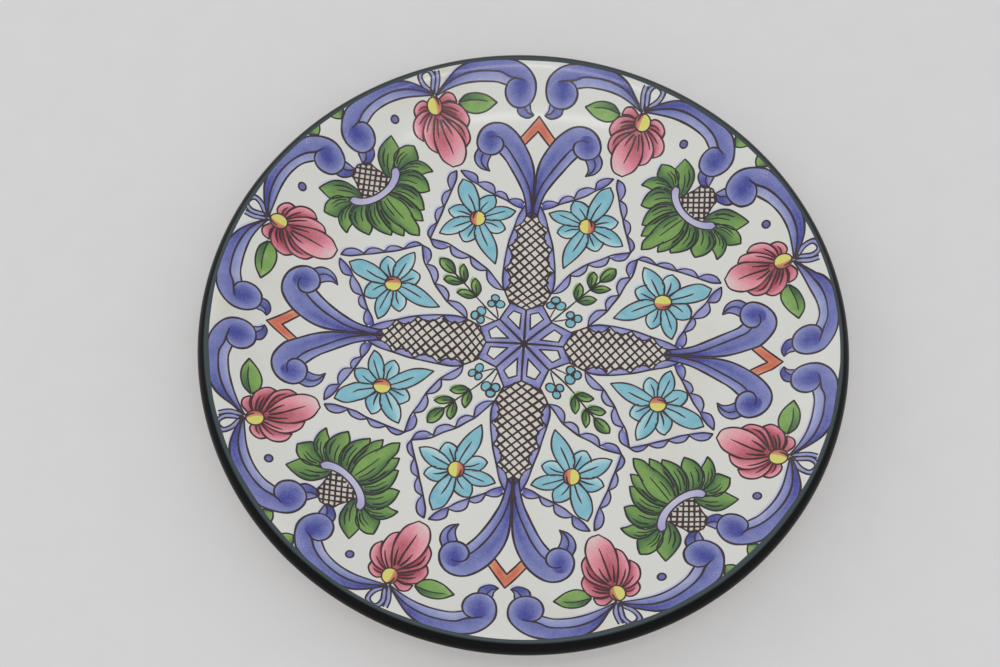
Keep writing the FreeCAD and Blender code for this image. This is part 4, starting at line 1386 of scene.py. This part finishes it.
class PlateColours(bpy.types.PropertyGroup):
    glaze: tint("Glaze", "White glaze", 210, 209, 202)
    glaze_shade: tint("Glaze Shade", "White glaze where it is mottled", 200, 200, 191)
    stain: tint("Stain", "Warm stains in the white glaze", 190, 172, 134)
    band: tint("Band", "Black glaze on the lip", 5, 5, 6)
    band_thin: tint("Band Thin", "Black glaze where it is thin", 24, 20, 19)
    # The grey of the painted reflection along the lip's inner edge, which also stands for the glaze thinning
    # there
    band_crest_reflection: tint("Band Crest", "Black glaze where it is thin along its inner edge", 66, 76, 79)
    clay: tint("Clay", "Bare clay", 196, 178, 154)
    clay_dark: tint("Clay Dark", "Bare clay in its pores", 158, 138, 112)
    floor: tint("Floor", "Studio floor", 195, 193, 192)
    blue_pale: tint("Blue, Thin", "Blue enamel where it is thin", 138, 144, 189)
    blue_deep: tint("Blue, Thick", "Blue enamel where it is thick", 52, 57, 142)
    violet_pale: tint("Violet, Thin", "Violet-blue enamel where it is thin", 146, 148, 190)
    violet_deep: tint("Violet, Thick", "Violet-blue enamel where it is thick", 72, 76, 158)
    turquoise_pale: tint("Turquoise, Thin", "Turquoise enamel where it is thin", 156, 198, 204)
    turquoise_deep: tint("Turquoise, Thick", "Turquoise enamel where it is thick", 84, 157, 177)
    rose_pale: tint("Rose, Thin", "Rose enamel where it is thin", 218, 136, 150)
    rose_deep: tint("Rose, Thick", "Rose enamel where it is thick", 146, 20, 42)
    green_pale: tint("Green, Thin", "Green enamel where it is thin", 121, 159, 77)
    green_deep: tint("Green, Thick", "Green enamel where it is thick", 42, 86, 48)
    brown_pale: tint("Brown, Thin", "Brown enamel where it is thin", 214, 150, 110)
    brown_deep: tint("Brown, Thick", "Brown enamel where it is thick", 156, 64, 54)
    yellow_pale: tint("Yellow, Thin", "Yellow enamel where it is thin", 218, 206, 120)
    yellow_deep: tint("Yellow, Thick", "Yellow enamel where it is thick", 206, 202, 96)
    orange_pale: tint("Orange, Thin", "Orange enamel where it is thin", 212, 150, 108)
    orange_deep: tint("Orange, Thick", "Orange enamel where it is thick", 190, 86, 66)
    lilac_pale: tint("Lilac, Thin", "Lilac enamel where it is thin", 182, 178, 202)
    lilac_deep: tint("Lilac, Thick", "Lilac enamel where it is thick", 140, 136, 188)
    wash_pale: tint("Wash, Thin", "Violet wash beside the drawing, thin", 182, 182, 214)
    wash_deep: tint("Wash, Thick", "Violet wash beside the drawing, thick", 136, 136, 204)
    buff_pale: tint("Buff, Thin", "Buff wash under the lattices, thin", 199, 195, 184)
    buff_deep: tint("Buff, Thick", "Buff wash under the lattices, thick", 170, 158, 140)
    line_pale: tint("Line, Thin", "Brown-black outline, thin", 96, 56, 54)
    line_deep: tint("Line, Thick", "Brown-black outline, thick", 26, 10, 12)
    blue_line_pale: tint("Blue Line, Thin", "Outline on blue, thin", 70, 44, 66)
    blue_line_deep: tint("Blue Line, Thick", "Outline on blue, thick", 28, 12, 20)
    rose_line_pale: tint("Rose Line, Thin", "Outline on rose, thin", 92, 26, 34)
    rose_line_deep: tint("Rose Line, Thick", "Outline on rose, thick", 38, 6, 12)
    leaf_line_pale: tint("Leaf Line, Thin", "Outline on green, thin", 58, 54, 36)
    leaf_line_deep: tint("Leaf Line, Thick", "Outline on green, thick", 12, 16, 10)
    lattice_pale: tint("Lattice, Thin", "Brown of the lattices, thin", 96, 56, 50)
    lattice_deep: tint("Lattice, Thick", "Brown of the lattices, thick", 22, 8, 8)


# ---------------------------------------------------------------- operators


def painted(kind, draw, diagonal=False, both_sides=False, slipped="", turned=()):
    """Paint one piece for each place of a kind: eight when it is on both sides, else four.

    The marks are slipped out of line in an ink where one is named, and the turned places, each a
    quarter and a side, get the drawing turned over.
    """
    number = 0
    for quarter in QUARTERS:
        for side in SIDES if both_sides else (1,):
            number += 1
            drawing = draw(turned=True) if (quarter, side) in turned else draw()
            marks = moved(drawing, side, quarter, diagonal)
            if slipped:
                marks = halos(marks, ink=slipped) + marks
            paint(f"{kind}_paint_{number}", f"{kind}_{number}", marks)


class PLATE_OT_glazes(bpy.types.Operator):
    """Turn the white glaze on the front and back, and the black glaze on the lip"""
    bl_idname = "plate.glazes"
    bl_label = "Glazes"

    def execute(self, context):
        white = finished("glossy_white", white_glaze)
        black = finished("glossy_black", black_glaze)
        turned_piece("white_face", "front_glaze", front_section, 220, 480, True, white)
        turned_piece("black_lip", "rim_band", band_section, 72, 720, False, black)
        turned_piece("white_back", "back_glaze", back_section, 120, 360, False, white)
        turned_piece("white_recess", "back_glaze", recess_section, 40, 240, True, white)
        return {"FINISHED"}


class PLATE_OT_clay(bpy.types.Operator):
    """Turn the foot ring and give the clay body its finish"""
    bl_idname = "plate.clay"
    bl_label = "Clay"

    def execute(self, context):
        foot = finished("foot_clay", foot_finish)
        turned_piece("turned_foot", "foot_ring", foot_section, 60, 360, False, foot)
        body = bpy.data.objects["clay_body"]
        for slot in body.material_slots:
            slot.material = finished("biscuit_clay", bare_clay)
        return {"FINISHED"}


class PLATE_OT_star_flowers(bpy.types.Operator):
    """Paint the eight turquoise flowers"""
    bl_idname = "plate.star_flowers"
    bl_label = "Star Flowers"

    def execute(self, context):
        painted(
            "star_flower", star_flower, both_sides=True, slipped="turquoise",
            turned=TURNED_FLOWERS,
        )
        return {"FINISHED"}


class PLATE_OT_diamond_frames(bpy.types.Operator):
    """Paint the scalloped frames round the flowers"""
    bl_idname = "plate.diamond_frames"
    bl_label = "Diamond Frames"

    def execute(self, context):
        painted("diamond_frame", diamond_frame, both_sides=True, slipped="wash")
        return {"FINISHED"}


class PLATE_OT_rosebuds(bpy.types.Operator):
    """Paint the eight rosebuds with their leaves and ribbons"""
    bl_idname = "plate.rosebuds"
    bl_label = "Rosebuds"

    def execute(self, context):
        painted("rosebud", rosebud, both_sides=True)
        return {"FINISHED"}


class PLATE_OT_scrolls(bpy.types.Operator):
    """Paint the rim scrolls, two to each rosebud, and the pairs of inner scrolls"""
    bl_idname = "plate.scrolls"
    bl_label = "Scrolls"

    def execute(self, context):
        number = 0
        for quarter in QUARTERS:
            for side in SIDES:
                number += 1
                turn = quarter if side > 0 else quarter - 1
                marks = moved(axis_rim_scroll(), side, quarter)
                marks += moved(diagonal_rim_scroll(), -side, turn, True)
                marks = halos(marks) + marks
                paint(f"rim_scrolls_paint_{number}", f"rim_scrolls_{number}", marks)
            pair = moved(inner_scroll(), 1, quarter) + moved(inner_scroll(), -1, quarter)
            place = quarter + 1
            paint(f"inner_scrolls_paint_{place}", f"inner_scrolls_{place}", pair)
        return {"FINISHED"}


class PLATE_OT_lattices(bpy.types.Operator):
    """Paint the four long lattices"""
    bl_idname = "plate.lattices"
    bl_label = "Lattices"

    def execute(self, context):
        painted("lattice_cone", lattice_cone)
        return {"FINISHED"}


class PLATE_OT_leaves(bpy.types.Operator):
    """Paint the acanthus fans and the leaf sprigs"""
    bl_idname = "plate.leaves"
    bl_label = "Leaves"

    def execute(self, context):
        painted("acanthus", acanthus, diagonal=True, slipped="wash")
        painted("leaf_sprig", leaf_sprig, diagonal=True, slipped="green")
        return {"FINISHED"}


class PLATE_OT_small_marks(bpy.types.Operator):
    """Paint the centre star and the berries, chevrons, dots and rim leaf tips"""
    bl_idname = "plate.small_marks"
    bl_label = "Centre Star and Small Marks"

    def execute(self, context):
        paint("centre_star_paint", "centre_star", centre_star())
        small = (
            ("berry_clusters", "turquoise_enamel", berries, True),
            ("orange_chevrons", "orange_enamel", chevron, False),
            ("blue_dots", "blue_enamel", blue_dots, True),
            ("rim_leaf_tips", "green_enamel", rim_leaf_tips, True),
        )
        for node, slot, draw, diagonal in small:
            marks = sum((moved(draw(), 1, quarter, diagonal) for quarter in QUARTERS), [])
            paint(f"{node}_paint", node, marks)
        return {"FINISHED"}


# The floor's half width, the points along it, and the lights: name, place, aim, width and depth, watts
FLOOR_REACH = 1.5
FLOOR_STEPS = 41
LIGHTS = (
    ("front_softbox", (0.1, -0.95, 1.7), (0.0, 0.0, 0.0), (1.0, 0.45), 3.0),
    ("left_softbox", (-1.6, 0.9, 1.1), (0.0, 0.0, 0.0), (1.0, 1.0), 4.0),
    ("window", (0.05, -0.22, 1.9), (0.0, 0.08, 0.0), (1.0, 0.16), 3.0),
)
ROOM_COLOUR = (0.96, 0.98, 1.0, 1.0)
ROOM_STRENGTH = 0.81
CAMERA_PLACE = Vector((0.00189, -0.2409, 0.5648))
CAMERA_AIM = Vector((-0.0075, 0.0031, 0.009))
CAMERA_ROLL = math.radians(2.0)
LENS_LENGTH = 70.2
SENSOR_WIDTH = 36.0


def area_light(name, place, aim, size, power):
    """A rectangular light at a place, facing an aim, both in metres."""
    light = bpy.data.lights.new(name, "AREA")
    light.shape = "RECTANGLE"
    light.size, light.size_y = size
    light.energy = power
    lamp = bpy.data.objects.new(name, light)
    bpy.context.scene.collection.objects.link(lamp)
    lamp.location = place
    lamp.rotation_euler = (Vector(aim) - Vector(place)).to_track_quat("-Z", "Y").to_euler()


def floor_finish(finish):
    """Pale matt board with a little unevenness."""
    grain = finish.noise(90.0, 3.0)
    base = tuple(colours().floor)
    shade = tuple(part * 0.94 for part in base)
    return finish.surface(
        finish.mix(base, shade, grain), finish.noise(700.0, 3.0), 0.0001, 0.3,
        roughness=0.8, specular_ior_level=0.2, emission_color=base, emission_strength=0.25,
    )


def stage_floor():
    """A level grid of squares under the plate."""
    steps = np.linspace(-FLOOR_REACH, FLOOR_REACH, FLOOR_STEPS)
    right, up = np.meshgrid(steps, steps)
    number = np.arange(FLOOR_STEPS ** 2).reshape(FLOOR_STEPS, FLOOR_STEPS)
    quads = np.stack([number[:-1, :-1], number[:-1, 1:], number[1:, 1:], number[1:, :-1]], axis=-1)
    points = np.stack([right, up, np.full_like(right, CAD_LOW.z)], axis=-1)
    floor = bpy.data.meshes.new("floor")
    floor.from_pydata(points.reshape(-1, 3).tolist(), [], quads.reshape(-1, 4).tolist())
    floor.materials.append(finished("studio_floor", floor_finish))
    return bpy.data.objects.new("floor", floor)


def stage_camera():
    """The camera at its place, turned to its aim and rolled a little."""
    lens = bpy.data.cameras.new("camera")
    lens.lens = LENS_LENGTH
    lens.sensor_width = SENSOR_WIDTH
    lens.clip_start = 0.01
    camera = bpy.data.objects.new("camera", lens)
    facing = (CAMERA_AIM - CAMERA_PLACE).to_track_quat("-Z", "Y").to_matrix().to_4x4()
    roll = Matrix.Rotation(CAMERA_ROLL, 4, "Z")
    camera.matrix_world = Matrix.Translation(CAMERA_PLACE) @ facing @ roll
    return camera


class PLATE_OT_stage(bpy.types.Operator):
    """Lay the floor, hang the lights and set up the camera"""
    bl_idname = "plate.stage"
    bl_label = "Stage"

    def execute(self, context):
        board = stage_floor()
        context.scene.collection.objects.link(board)
        for light in LIGHTS:
            area_light(*light)
        room = bpy.data.worlds.new("room")
        room.use_nodes = True
        background = room.node_tree.nodes["Background"]
        background.inputs["Color"].default_value = ROOM_COLOUR
        background.inputs["Strength"].default_value = ROOM_STRENGTH
        context.scene.world = room
        context.scene.camera = stage_camera()
        context.scene.collection.objects.link(context.scene.camera)
        context.scene.view_settings.view_transform = "Standard"
        return {"FINISHED"}


OPERATORS = (
    PLATE_OT_glazes, PLATE_OT_clay, PLATE_OT_star_flowers, PLATE_OT_diamond_frames, PLATE_OT_rosebuds,
    PLATE_OT_scrolls, PLATE_OT_lattices, PLATE_OT_leaves, PLATE_OT_small_marks, PLATE_OT_stage,
)


class PLATE_PT_panel(bpy.types.Panel):
    """Lists the plate's sizes, colours and operators"""
    bl_idname = "PLATE_PT_panel"
    bl_label = "Painted Plate"
    bl_space_type = "VIEW_3D"
    bl_region_type = "UI"
    bl_category = "Plate"

    def draw(self, context):
        for group in (context.scene.plate_sizes, context.scene.plate_colours):
            column = self.layout.column()
            for key in group.bl_rna.properties.keys():
                if key not in ("rna_type", "name"):
                    column.prop(group, key)
        for operator in OPERATORS:
            self.layout.operator(operator.bl_idname)


CLASSES = (PlateSizes, PlateColours, *OPERATORS, PLATE_PT_panel)


def register():
    for kind in CLASSES:
        bpy.utils.register_class(kind)
    bpy.types.Scene.plate_sizes = bpy.props.PointerProperty(type=PlateSizes)
    bpy.types.Scene.plate_colours = bpy.props.PointerProperty(type=PlateColours)


def unregister():
    del bpy.types.Scene.plate_colours
    del bpy.types.Scene.plate_sizes
    for kind in reversed(CLASSES):
        bpy.utils.unregister_class(kind)


def main():
    register()
    for operator in OPERATORS:
        group, name = operator.bl_idname.split(".")
        getattr(getattr(bpy.ops, group), name)()


if __name__ == "__main__":
    main()
